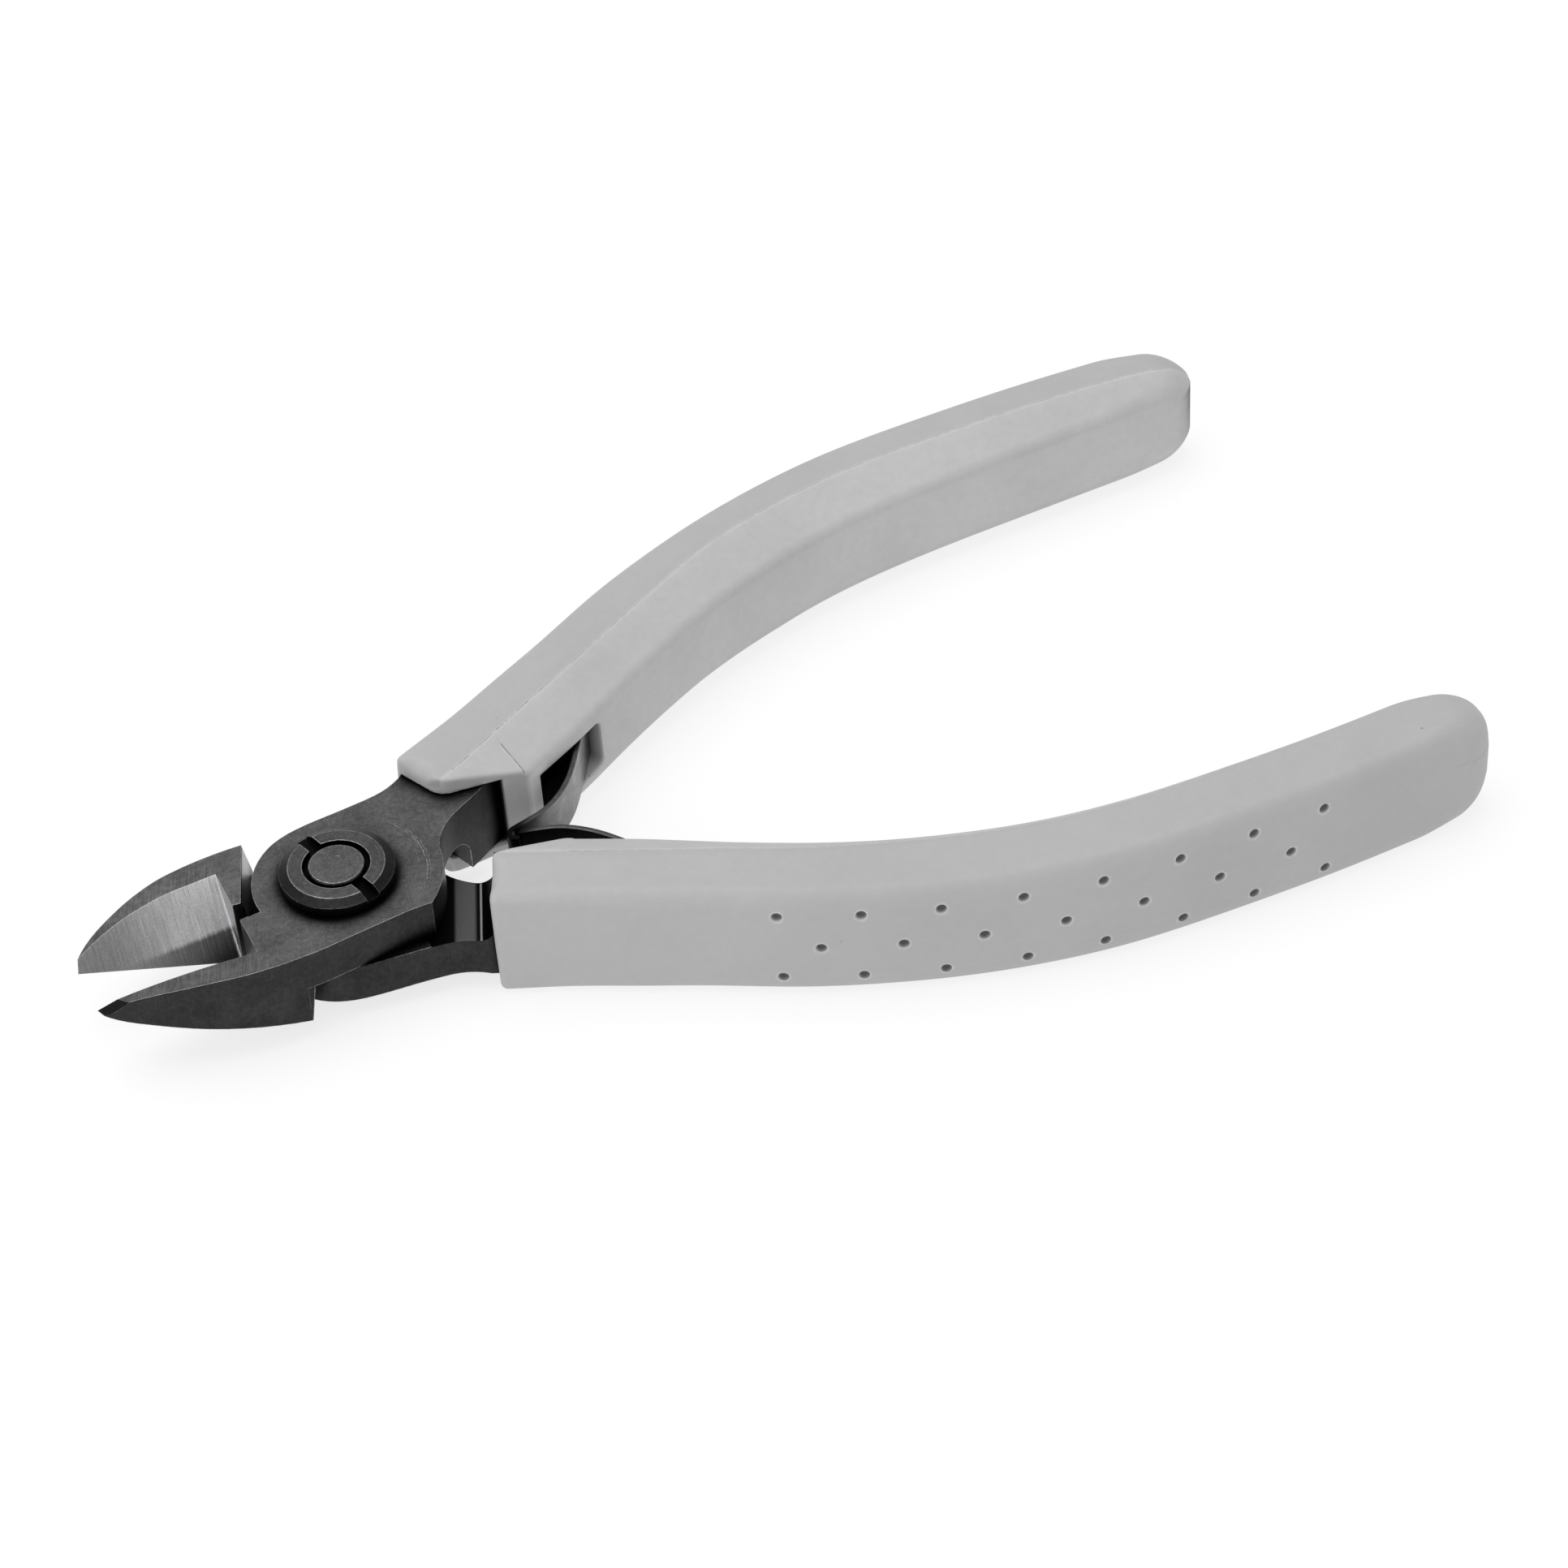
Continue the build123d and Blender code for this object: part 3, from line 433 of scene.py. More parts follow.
def grip_plastic(name, base=0.42, rough=0.60, mottle=0.03, seam=0.75):
    """Fine matte moulding with faint mottling, sparse pores and a hairline seam."""
    m = Mat(name)
    p = m.mm()
    x, y, z = m.xyz(p)
    cl = m.step(m.noise(p, 0.10, 3.0, 0.55), 0.3, 0.7, 1 - mottle, 1 + mottle)
    mo = m.step(m.noise(p, 1.1, 4.0, 0.6), 0.3, 0.7, 1 - mottle * 0.7, 1 + mottle * 0.7)
    gr = m.noise(p, 7.5, 3.0, 0.6)
    grs = m.step(gr, 0.3, 0.7, 0.985, 1.015)
    v = m.math("MULTIPLY", m.math("MULTIPLY", m.math("MULTIPLY", base, cl), mo), grs)
    # sparse pores
    vo = m.n("TexVoronoi", {"Vector": p, "Scale": 0.42, "Randomness": 1.0})
    keep = m.math("GREATER_THAN", m.xyz(vo.outputs["Color"])[0], 0.80)
    pore = m.math("MULTIPLY", m.step(vo.outputs["Distance"], 0.030, 0.055, 1.0, 0.0), keep)
    v = m.math("MULTIPLY", v, m.math("SUBTRACT", 1.0, m.math("MULTIPLY", pore, 0.45)))
    # seam
    sa = m.n("Attribute", attribute_name="seam")
    line = m.step(sa.outputs["Fac"], 0.025, 0.060, 1.0, 0.0)
    dash = m.step(m.noise(p, 1.3, 4.0, 0.65), 0.40, 0.58, 0.10, 1.0)
    # stronger towards the front
    dash = m.math("MULTIPLY", dash, m.step(x, 20.0, 27.0, 1.0, 0.42))
    line = m.math("MULTIPLY", m.math("MULTIPLY", line, dash), seam)
    v = m.math("MULTIPLY", v, m.math("SUBTRACT", 1.0, m.math("MULTIPLY", line, 0.80)))
    # crease where the flatter front of the inner slope begins
    cr = m.n("Attribute", attribute_name="crease")
    cdash = m.step(m.noise(p, 1.9, 3.0, 0.6), 0.35, 0.55, 0.35, 1.0)
    dark_ = m.math("MULTIPLY", m.step(m.math("ABSOLUTE", cr.outputs["Fac"]), 0.03, 0.075, 1.0, 0.0), cdash)
    v = m.math("MULTIPLY", v, m.math("SUBTRACT", 1.0, m.math("MULTIPLY", dark_, 0.55)))
    pale = m.step(m.math("ABSOLUTE", m.math("ADD", cr.outputs["Fac"], 0.19)), 0.03, 0.12, 1.0, 0.0)
    v = m.math("ADD", v, m.math("MULTIPLY", pale, 0.05))
    # painted light and painted highlights carried by this attribute
    v = m.math("MULTIPLY", v, m.n("Attribute", attribute_name="painted_light").outputs["Fac"])
    # painted shade down in the pocket and the mouth
    hl = m.n("Attribute", attribute_name="painted_shade")
    v = m.math("MULTIPLY", v, m.step(hl.outputs["Fac"], 0.0, 1.0, 1.0, 0.01))
    # painted highlight on the edges, kept out of the painted shade
    bev = m.n("Bevel", {"Radius": 0.0005}, samples=6)
    geo = m.n("NewGeometry")
    turn = m.math("SUBTRACT", 1.0, m.vec("DOT_PRODUCT", bev.outputs[0], geo.outputs["Normal"]))
    v = m.math("ADD", v, m.math("MULTIPLY", m.math("MULTIPLY", m.step(turn, 0.01, 0.07), m.step(hl.outputs["Fac"], 0.0, 0.2, 1.0, 0.0)), 0.06))
    col = m.n("CombineColor", {0: v, 1: m.math("MULTIPLY", v, 1.006), 2: m.math("MULTIPLY", v, 1.0)}).outputs[0]
    h = m.math("SUBTRACT", m.math("ADD", gr, m.math("MULTIPLY", m.noise(p, 2.4, 3.0, 0.6), 0.5)), m.math("MULTIPLY", line, 2.0))
    h = m.math("SUBTRACT", h, m.math("MULTIPLY", pore, 2.0))
    bump = m.n("Bump", {"Strength": 0.25, "Distance": 0.00004, "Height": h})
    b = m.n("BsdfPrincipled", {"Base Color": col, "Roughness": rough, "Normal": bump.outputs[0], "IOR": 1.46,
                               "Specular IOR Level": 0.45})
    m.t.links.new(b.outputs[0], m.out.inputs[0])
    return m.m


def set_mat(o, mat):
    o.data.materials.clear()
    o.data.materials.append(mat)


set_mat(N["lever_a"], black_steel("black_oxide_lever_a", hand=1, bevel_side=-1, arcs=True, top_v=0.108, side_v=0.034))
set_mat(N["lever_b"], black_steel("black_oxide_lever_b", hand=-1, bevel_side=1, top_v=0.125, side_v=0.032))
set_mat(N["joint_nut"], black_steel("black_oxide_nut", top_v=0.080, side_v=0.020, nut=True, wear=1.0))
set_mat(N["joint_screw"], black_steel("black_oxide_screw", top_v=0.105, side_v=0.020, nut=True, wear=0.9))
for tag in "ab":
    set_mat(N["spring_rivet_" + tag], spring_steel("rivet_steel_" + tag))

# ---------------------------------------------------------------------------
# Grips: an implicit surface in plan (p across, t along) and height, made into
# a smooth mesh, then split into the hard body and the skin at the seam.
# ---------------------------------------------------------------------------


def natural_spline(ys):
    """Natural cubic through values at 0, 1, 2 ...; returns a function of t."""
    ys = np.asarray(ys, float)
    n = len(ys)
    A = np.zeros((n, n))
    b = np.zeros(n)
    A[0, 0] = A[-1, -1] = 1
    for i in range(1, n - 1):
        A[i, i - 1], A[i, i], A[i, i + 1] = 1, 4, 1
        b[i] = 6 * (ys[i + 1] - 2 * ys[i] + ys[i - 1])
    M = np.linalg.solve(A, b)

    def f(t):
        t = np.clip(np.asarray(t, float), 0, n - 1 - 1e-9)
        i = np.floor(t).astype(int)
        u = t - i
        a, c = ys[i], ys[i + 1]
        return (a * (1 - u) + c * u - M[i] / 6 * (1 - u) * u * (2 - u) - M[i + 1] / 6 * u * (1 - u) * (1 + u))

    return f


ix, iy = natural_spline([s[0][0] for s in STATIONS]), natural_spline([s[0][1] for s in STATIONS])
ox_, oy_ = natural_spline([s[1][0] for s in STATIONS]), natural_spline([s[1][1] for s in STATIONS])
ca, cb = natural_spline([c[0] for c in CORNER]), natural_spline([c[1] for c in CORNER])

# plan coordinates on a grid: t (station), p (from the inner edge), w (width)
GX0, GX1, GY0, GY1, GS = 4.0, 99.0, -4.0, 36.0, 0.25
gx, gy = np.arange(GX0, GX1 + 1e-6, GS), np.arange(GY0, GY1 + 1e-6, GS)
TT = np.linspace(0, len(STATIONS) - 1.001, 900)
I = np.stack([ix(TT), iy(TT)], 1)
O = np.stack([ox_(TT), oy_(TT)], 1)
W = np.linalg.norm(O - I, axis=1)
NN = (O - I) / W[:, None]
PX, PY = np.meshgrid(gx, gy, indexing="ij")
pts = np.stack([PX.ravel(), PY.ravel()], 1)
best_t = np.zeros(len(pts))
for c0 in range(0, len(pts), 6000):
    q = pts[c0:c0 + 6000]
    dx = q[:, None, 0] - I[None, :, 0]
    dy = q[:, None, 1] - I[None, :, 1]
    sd = dx * NN[None, :, 1] - dy * NN[None, :, 0]          # ahead of the section line
    pp = dx * NN[None, :, 0] + dy * NN[None, :, 1]
    cost = np.abs(sd) + 0.02 * np.abs(pp - W[None, :] / 2)
    k = np.argmin(cost, 1)
    k = np.clip(k, 1, len(TT) - 2)
    r_ = np.arange(len(q))
    s0, s1 = sd[r_, k - 1], sd[r_, k + 1]
    u = np.clip(s0 / np.where(np.abs(s0 - s1) < 1e-9, 1e-9, s0 - s1), -0.5, 1.5)
    best_t[c0:c0 + 6000] = TT[k - 1] + u * (TT[k + 1] - TT[k - 1])
bt = best_t.reshape(PX.shape)
bI = np.stack([ix(bt), iy(bt)], -1)
bO = np.stack([ox_(bt), oy_(bt)], -1)
bW = np.linalg.norm(bO - bI, axis=-1)
bN = (bO - bI) / bW[..., None]
bP = (PX - bI[..., 0]) * bN[..., 0] + (PY - bI[..., 1]) * bN[..., 1]
bA, bB = ca(bt), cb(bt)


def look(g, x, y):
    """Bilinear lookup of a plan grid."""
    fx = np.clip((x - GX0) / GS, 0, len(gx) - 1.001)
    fy = np.clip((y - GY0) / GS, 0, len(gy) - 1.001)
    i, j = fx.astype(int), fy.astype(int)
    u, v = fx - i, fy - j
    return (g[i, j] * (1 - u) * (1 - v) + g[i + 1, j] * u * (1 - v) + g[i, j + 1] * (1 - u) * v + g[i + 1, j + 1] * u * v)


def rmax(a, b, r):
    """Intersection with a rounded edge of radius r (r may vary)."""
    u, v = np.maximum(a + r, 0), np.maximum(b + r, 0)
    return np.minimum(np.maximum(a, b), -r) + np.sqrt(u * u + v * v)


def rmin(a, b, r):
    return -rmax(-a, -b, r)


def seam_at(x, slide):
    """Distance of the seam from the outer wall, on the far grip (slide 0) and on the near one."""
    if slide:
        return np.interp(x, [14, 18, 22, 26, 30.5, 40, 60], [5.95, 5.80, 5.95, 6.12, 6.28, 6.60, 6.60])
    return np.interp(x, [14, 18, 37, 41, 46, 60], [5.45, 5.10, 5.00, 4.60, 4.20, 4.20])


def half_plane(x, y, a, b, inside):
    """Distance beyond the line a-b, negative on the side of the point inside."""
    d = np.array(b, float) - np.array(a, float)
    n = np.array([d[1], -d[0]]) / np.hypot(*d)
    if np.dot(n, np.array(inside, float) - np.array(a, float)) > 0:
        n = -n
    return (x - a[0]) * n[0] + (y - a[1]) * n[1]


def grip_field(x, y, z, slide):
    P, w, A, B = look(bP, x, y), look(bW, x, y), look(bA, x, y), look(bB, x, y)
    az = np.abs(z)
    hs = GRIP_H - 0.06
    # inner slope, and the flatter cap in front of the crease
    seam = seam_at(x, slide)
    run = w - seam
    zi = GRIP_I if slide else np.interp(x, [22, 30, 40, 50], [GRIP_I + 0.35, GRIP_I + 0.40, GRIP_I + 0.45, GRIP_I + 0.7])
    ln = np.hypot(run, hs - zi)
    slope = ((az - zi) * run - P * (hs - zi)) / ln
    cap_in = 3.45 if slide else 3.90
    cap = ((az - cap_in) * run - P * (hs - cap_in)) / np.hypot(run, hs - cap_in)
    crease = half_plane(x, y, (17.80 + slide, 8.10), (18.85 + slide, 4.40), (14.0, 8.0))
    slope = np.minimum(slope, rmax(cap, crease, 0.15))
    top = az - GRIP_H
    wall = P - (w - 0.20 * np.clip(az / (GRIP_H - 1.3), 0, 1.6) ** 2)
    # elliptical outer corner, fuller towards the rear end
    g = np.clip((x - (GRIP_END - 9.0)) / 9.0, 0, 1)
    g = g * g * (3 - 2 * g)
    A, B = A + (3.8 - A) * g, B + (4.2 - B) * g
    u = np.maximum(P - (w - 0.12 - A), 0) / A
    v = np.maximum(az - (GRIP_H - B), 0) / B
    k = np.maximum(np.sqrt(u * u + v * v), 1e-6)
    corner = (k - 1) * k / np.sqrt((u / A) ** 2 + (v / B) ** 2 + 1e-12)
    outer = np.where((u > 0) & (v > 0), np.maximum(corner, wall), np.maximum(top, wall))
    inner = rmax(slope, -P, 0.75 + 1.8 * g)
    f = rmax(outer, inner, 0.5 + 2.0 * g)
    # front: square across the outer half, then parallel to the tool
    f1 = half_plane(x, y, (8.87 + slide, 10.23 + 0.55 * slide), (11.20 + slide, 5.23 + 0.55 * slide), (40, 20))
    f2 = half_plane(x, y, (11.5 + slide, 5.15 + 0.4 * slide), (19.15 + slide, 4.36 + 0.3 * slide), (40, 20))
    front = rmax(f1 - (0.12 if slide else 0.0), f2 - (0.30 if slide else 0.0), 0.45 if slide else 0.9)
    soft = np.clip((P - run - 0.2) / 1.4, 0, 1)
    soft = soft * (1 - 0.72 * np.clip((P - (w - 2.4)) / 1.6, 0, 1))
    f = rmax(f, front, 0.25 + 1.20 * soft)
    # rear end, rounded in plan and from the side
    f = rmax(f, x - (GRIP_END - (0.5 if slide else 0.0)), 4.3)
    # mouth for the neck of the lever
    o1 = half_plane(x, y, (9.4, 9.50), (13.5, 11.40), (12.0, 5.0))
    o2 = x - (16.85 + 0.9 * slide)
    f = rmax(f, -np.maximum(np.maximum(o1, o2), az - 3.76), 0.18)
    # spring pocket, down to the tang
    pk = np.maximum(rmax(x - 27.65 + 0.42 * np.clip(P, 0, 2.2), az - 2.50, 0.7), np.maximum(20.35 - x, P - 3.75))
    f = rmax(f, -pk, 0.25)
    return f


def painted_shade(x, y, z, P, slide):
    """Painted shade down in the spring pocket or the mouth: 0 outside, 1 where it is darkest."""
    az = np.abs(z)
    ramp = lambda v, a, b: np.clip((v - a) / (b - a), 0, 1)
    right = x - 27.65 + 0.42 * np.clip(P, 0, 2.2)
    inside = ramp(x, 20.0, 20.4) * ramp(az, 2.95, 2.45) * (P < 4.2)
    wall_ = ramp(P, 0.25, 1.9) * 0.85
    # beyond the leaf the painted shade lightens downwards, where the floor of the pocket shows
    rear = 0.80 - 0.62 * ramp(z, 1.8, -2.4)
    back = ramp(P, 0.05, 0.45) * (1 - ramp(x, 24.6, 25.4) * (1 - rear))
    pocket = inside * np.where(right > -0.30, wall_ * (1 - 0.45 * ramp(z, 1.0, -2.4)), back)
    o1 = half_plane(x, y, (9.4, 9.50), (13.5, 11.40), (12.0, 5.0))
    o2 = x - (16.85 + 0.9 * slide)
    m_ = np.maximum(np.maximum(o1, o2), az - 3.76)
    front = -np.maximum(half_plane(x, y, (8.87 + slide, 10.23 + 0.55 * slide), (11.20 + slide, 5.23 + 0.55 * slide), (40, 20)),
                        half_plane(x, y, (11.5 + slide, 5.15 + 0.4 * slide), (19.15 + slide, 4.36 + 0.3 * slide), (40, 20)))
    mouth = np.where((m_ < 0.06) & (front > 0.25), np.clip((front - 0.25) / 0.5, 0, 1), 0.0)
    return np.maximum(pocket, mouth)


def surface_nets(F, origin, h):
    """Quads on the zero set of F (negative inside), one vertex per mixed cell."""
    S = F < 0
    nx_, ny_, nz_ = F.shape
    cnt = np.zeros((nx_ - 1, ny_ - 1, nz_ - 1), np.int8)
    cor = [(i, j, k) for i in (0, 1) for j in (0, 1) for k in (0, 1)]
    for i, j, k in cor:
        cnt += S[i:nx_ - 1 + i, j:ny_ - 1 + j, k:nz_ - 1 + k]
    act = np.argwhere((cnt > 0) & (cnt < 8))
    idx = -np.ones(cnt.shape, np.int64)
    idx[tuple(act.T)] = np.arange(len(act))
    pos = np.zeros((len(act), 3))
    num = np.zeros(len(act))
    for a in cor:
        for ax in range(3):
            if a[ax]:
                continue
            b = list(a)
            b[ax] = 1
            fa = F[act[:, 0] + a[0], act[:, 1] + a[1], act[:, 2] + a[2]]
            fb = F[act[:, 0] + b[0], act[:, 1] + b[1], act[:, 2] + b[2]]
            m_ = (fa < 0) != (fb < 0)
            t_ = np.where(m_, fa / np.where(m_, fa - fb, 1), 0)
            q = np.array(a, float)[None, :].repeat(len(act), 0)
            q[:, ax] += t_
            pos += q * m_[:, None]
            num += m_
    verts = (act + pos / num[:, None]) * h + np.array(origin)
    faces = []
    for ax in range(3):
        o1_, o2_ = [a for a in range(3) if a != ax]
        n_ = [nx_, ny_, nz_]
        sl0 = [slice(None)] * 3
        sl1 = [slice(None)] * 3
        sl0[ax], sl1[ax] = slice(0, n_[ax] - 1), slice(1, n_[ax])
        ch = S[tuple(sl0)] != S[tuple(sl1)]
        e = np.argwhere(ch)
        ok = (e[:, o1_] > 0) & (e[:, o2_] > 0) & (e[:, o1_] < n_[o1_] - 1) & (e[:, o2_] < n_[o2_] - 1)
        e = e[ok]
        quad = []
        for d1, d2 in ((1, 1), (0, 1), (0, 0), (1, 0)):
            c_ = e.copy()
            c_[:, o1_] -= d1
            c_[:, o2_] -= d2
            quad.append(idx[tuple(c_.T)])
        quad = np.stack(quad, 1)
        inside_low = S[tuple(e.T)]
        flip = inside_low if ax != 1 else ~inside_low
        quad[~flip] = quad[~flip][:, ::-1]
        faces.append(quad)
    return verts, np.concatenate(faces)


def project(verts, f, rounds=3):
    e = 0.01
    for _ in range(rounds):
        v = f(*verts.T)
        g = np.stack([(f(*(verts + np.eye(3)[k] * e).T) - f(*(verts - np.eye(3)[k] * e).T)) / (2 * e) for k in range(3)], 1)
        gg = (g * g).sum(1)
        step_ = np.clip(v / np.maximum(gg, 0.2), -0.1, 0.1)
        verts = verts - g * step_[:, None]
    return verts


def mesh_object(name, verts_mm, faces, flip=False, smooth=True):
    me = bpy.data.meshes.new(name)
    co = world(verts_mm)
    faces = np.asarray(faces)
    if flip:
        faces = faces[:, ::-1]
    me.from_pydata(co.tolist(), [], faces.tolist())
    me.update()
    o = bpy.data.objects.new(name, me)
    scene.collection.objects.link(o)
    if smooth:
        me.polygons.foreach_set("use_smooth", np.ones(len(me.polygons), bool))
    return o


def apply_boolean(o, cutter, op):
    md = o.modifiers.new("b", "BOOLEAN")
    md.operation, md.object = op, cutter
    try:
        md.solver = "MANIFOLD"
    except TypeError:
        md.solver = "EXACT"
    dg = bpy.context.evaluated_depsgraph_get()
    me = bpy.data.meshes.new_from_object(o.evaluated_get(dg), depsgraph=dg)
    o.modifiers.clear()
    old = o.data
    o.data = me
    bpy.data.meshes.remove(old)
    return o


def prism(name, rings):
    """Closed strip of equal rings (lists of points) with end caps."""
    n = len(rings[0])
    v = [p for r in rings for p in r]
    f = []
    for k in range(len(rings) - 1):
        for i in range(n):
            j = (i + 1) % n
            f.append([k * n + i, k * n + j, (k + 1) * n + j, (k + 1) * n + i])
    me = bpy.data.meshes.new(name)
    f.append(list(range(n))[::-1])
    f.append([len(v) - n + i for i in range(n)])
    me.from_pydata([tuple(world(p)) for p in v], [], f)
    me.update()
    o = bpy.data.objects.new(name, me)
    scene.collection.objects.link(o)
    import bmesh
    bm = bmesh.new()
    bm.from_mesh(me)
    bmesh.ops.recalc_face_normals(bm, faces=bm.faces)
    bm.to_mesh(me)
    bm.free()
    return o


def core_rings(s, slide):
    rings = []
    for t in np.linspace(0.0, len(STATIONS) - 1.01, 170):
        a, b = np.array([ix(t), iy(t)]), np.array([ox_(t), oy_(t)])
        w = np.hypot(*(b - a))
        n = (b - a) / w
        e = w - float(seam_at(a[0] + n[0] * (w - 5.5), slide))
        # the soft part wraps round the rear end
        g = min(max((a[0] - (GRIP_END - 8.0)) / 6.5, 0.0), 1.0)
        wc, zc = (w - SKIN) * (1 - g) + (e + 0.05) * g, (GRIP_H - SKIN - 0.7) * (1 - 0.6 * g)
        prof = [(-3, -8), (-3, 8), (e, 8), (e, GRIP_H - SKIN), (wc, zc),
                (wc, -zc), (e, -GRIP_H + SKIN), (e, -8)]
        rings.append([(a[0] + n[0] * p, s * (a[1] + n[1] * p), q) for p, q in prof])
    return rings


def dimple_cutters(s):
    """Small round-bottomed holes with a slight lip, across the outer wall."""
    prof = [(0.0, -0.62), (0.22, -0.58), (0.37, -0.44), (0.44, -0.22), (DIMPLE_R, -0.06), (DIMPLE_R + 0.06, 0.0), (DIMPLE_R + 0.14, 0.10),
            (DIMPLE_R + 0.14, 0.6), (0.0, 0.6)]
    verts, faces = [], []
    for (px, py, pz) in DIMPLES:
        py = abs(py)
        # nearest point of the outer wall and its outward normal
        d = np.hypot(ox_(TT) - px, oy_(TT) - py)
        k = int(np.argmin(d))
        n = NN[k]
        base = np.array([ox_(TT[k]), oy_(TT[k])]) - n * (0.20 * (abs(pz) / (GRIP_H - 1.3)) ** 2)
        c = np.array([base[0], base[1], pz])
        e1 = np.array([n[0], n[1], 0.0])
        e2 = np.array([-n[1], n[0], 0.0])
        e3 = np.array([0, 0, 1.0])
        v0 = len(verts)
        SEG = 20
        rows = []
        for (r, h) in prof:
            if r == 0.0:
                rows.append([len(verts)])
                verts.append(c + e1 * h)
            else:
                row = []
                for i in range(SEG):
                    a = 2 * math.pi * i / SEG
                    row.append(len(verts))
                    verts.append(c + e1 * h + (e2 * math.cos(a) + e3 * math.sin(a)) * r)
                rows.append(row)
        for a, b in zip(rows[:-1], rows[1:]):
            for i in range(SEG):
                j = (i + 1) % SEG
                if len(a) == 1:
                    faces.append([a[0], b[j], b[i]])
                elif len(b) == 1:
                    faces.append([a[i], a[j], b[0]])
                else:
                    faces.append([a[i], a[j], b[j], b[i]])
    verts = np.array(verts)
    verts[:, 1] *= s
    me = bpy.data.meshes.new("dimples")
    me.from_pydata(world(verts).tolist(), [], faces)
    o = bpy.data.objects.new("dimples", me)
    scene.collection.objects.link(o)
    import bmesh
    bm = bmesh.new()
    bm.from_mesh(me)
    bmesh.ops.recalc_face_normals(bm, faces=bm.faces)
    bm.to_mesh(me)
    bm.free()
    return o


H = 0.20
grip_mats = {}
for tag, s, slide, body in (("a", 1, 0.0, "far_half"), ("b", -1, 0.8, "near_half")):
    x0, y0, z0 = 5.0, -2.0, -6.6
    nx_, ny_, nz_ = int(92.5 / H) + 1, int(35.0 / H) + 1, int(13.2 / H) + 1
    X = x0 + np.arange(nx_) * H
    Y = y0 + np.arange(ny_) * H
    Z = z0 + np.arange(nz_) * H + H * 0.37
    F = np.empty((nx_, ny_, nz_), np.float32)
    for i0 in range(0, nx_, 40):
        xx, yy, zz = np.meshgrid(X[i0:i0 + 40], Y, Z, indexing="ij")
        F[i0:i0 + 40] = grip_field(xx, yy, zz, slide)
    f3 = lambda x, y, z: grip_field(x, y, z, slide)
    verts, faces = surface_nets(F, (x0, y0, Z[0]), H)
    verts = project(verts, f3)
    verts[:, 1] *= s
    whole = mesh_object("whole_" + tag, verts, faces, flip=(s < 0))
    core = prism("core_" + tag, core_rings(s, slide))
    skin = bpy.data.objects.new("grip_skin_" + tag, whole.data.copy())
    scene.collection.objects.link(skin)
    hard = bpy.data.objects.new("grip_body_" + tag, whole.data.copy())
    scene.collection.objects.link(hard)
    bpy.context.view_layer.update()
    apply_boolean(hard, core, "INTERSECT")
    apply_boolean(skin, core, "DIFFERENCE")
    dim = dimple_cutters(s)
    bpy.context.view_layer.update()
    apply_boolean(skin, dim, "DIFFERENCE")
    for o in (whole, core, dim):
        me = o.data
        bpy.data.objects.remove(o)
        bpy.data.meshes.remove(me)
    for o, slot_, node_ in ((hard, "grip_body", "grip_" + tag), (skin, "grip_skin", "skin_" + tag)):
        me = o.data
        co = np.zeros(len(me.vertices) * 3)
        me.vertices.foreach_get("co", co)
        co = co.reshape(-1, 3) * 1000 - np.array([OX, 0, OZ])
        lx, ly = co[:, 0], co[:, 1] * s
        LP = look(bP, lx, ly)
        d = np.abs(LP - (look(bW, lx, ly) - seam_at(lx, slide)))
        d = np.where(np.abs(co[:, 2]) > 3.7, d, 9.0) + np.clip(((12.9 if slide == 0 else 17.5) - lx) / 1.5, 0, 1)
        cr = half_plane(lx, ly, (17.80 + slide, 8.10), (18.85 + slide, 4.40), (14.0, 8.0))
        cr = np.where((LP > 0.35) & (LP < 3.6) & (np.abs(co[:, 2]) > 3.6) & (np.abs(cr) < 2) & (slide == 0), cr, 9.0)
        # painted light: the front wall and the inner face strip brightened, with a painted highlight line between
        x1 = 19.25 + slide
        within = np.clip((0.42 - LP) / 0.30, 0, 1) * np.clip((3.55 - np.abs(co[:, 2])) / 0.45, 0, 1)
        painted_light = np.interp(lx, [x1 - 0.25, x1, x1 + 0.25, x1 + 1.2, x1 + 2.2], [1.50, 1.66, 1.60, 1.55, 1.08])
        painted_light = 1 + (painted_light - 1) * within
        ho = painted_shade(lx, ly, co[:, 2], LP, slide)
        if slot_ == "grip_skin":
            # dimples: painted shade inside, with a painted highlight on the rim
            for (px, py, pz) in DIMPLES:
                kk = int(np.argmin(np.hypot(ox_(TT) - px, oy_(TT) - abs(py))))
                nn = NN[kk]
                bx, by = np.array([ox_(TT[kk]), oy_(TT[kk])]) - nn * (0.20 * (abs(pz) / (GRIP_H - 1.3)) ** 2)
                hh = (lx - bx) * nn[0] + (ly - by) * nn[1]
                rr = np.hypot((ly - by) * nn[0] - (lx - bx) * nn[1], co[:, 2] - pz)
                ho = np.where((rr < DIMPLE_R + 0.02) & (np.abs(hh) < 0.8), np.maximum(ho, 0.58 * np.clip((-hh - 0.03) / 0.32, 0, 1)), ho)
                painted_light = np.where((rr > DIMPLE_R - 0.01) & (rr < DIMPLE_R + 0.12) & (np.abs(hh) < 0.12), 1.16, painted_light)
        for nm, val in (("seam", d), ("crease", cr), ("painted_shade", ho), ("painted_light", painted_light)):
            at = me.attributes.new(nm, "FLOAT", "POINT")
            at.data.foreach_set("value", val.astype(np.float32))
        me.polygons.foreach_set("use_smooth", np.ones(len(me.polygons), bool))
        me.set_sharp_from_angle(angle=math.radians(42))
        mat = grip_plastic("moulded_" + slot_, base=0.462 if slot_ == "grip_body" else 0.415,
                           mottle=0.035 if slot_ == "grip_body" else 0.02) if slot_ not in grip_mats else grip_mats[slot_]
        grip_mats[slot_] = mat
        set_mat(o, mat)
        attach(o, body)
        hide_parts(node_)
        print(o.name, len(me.vertices), len(me.polygons))
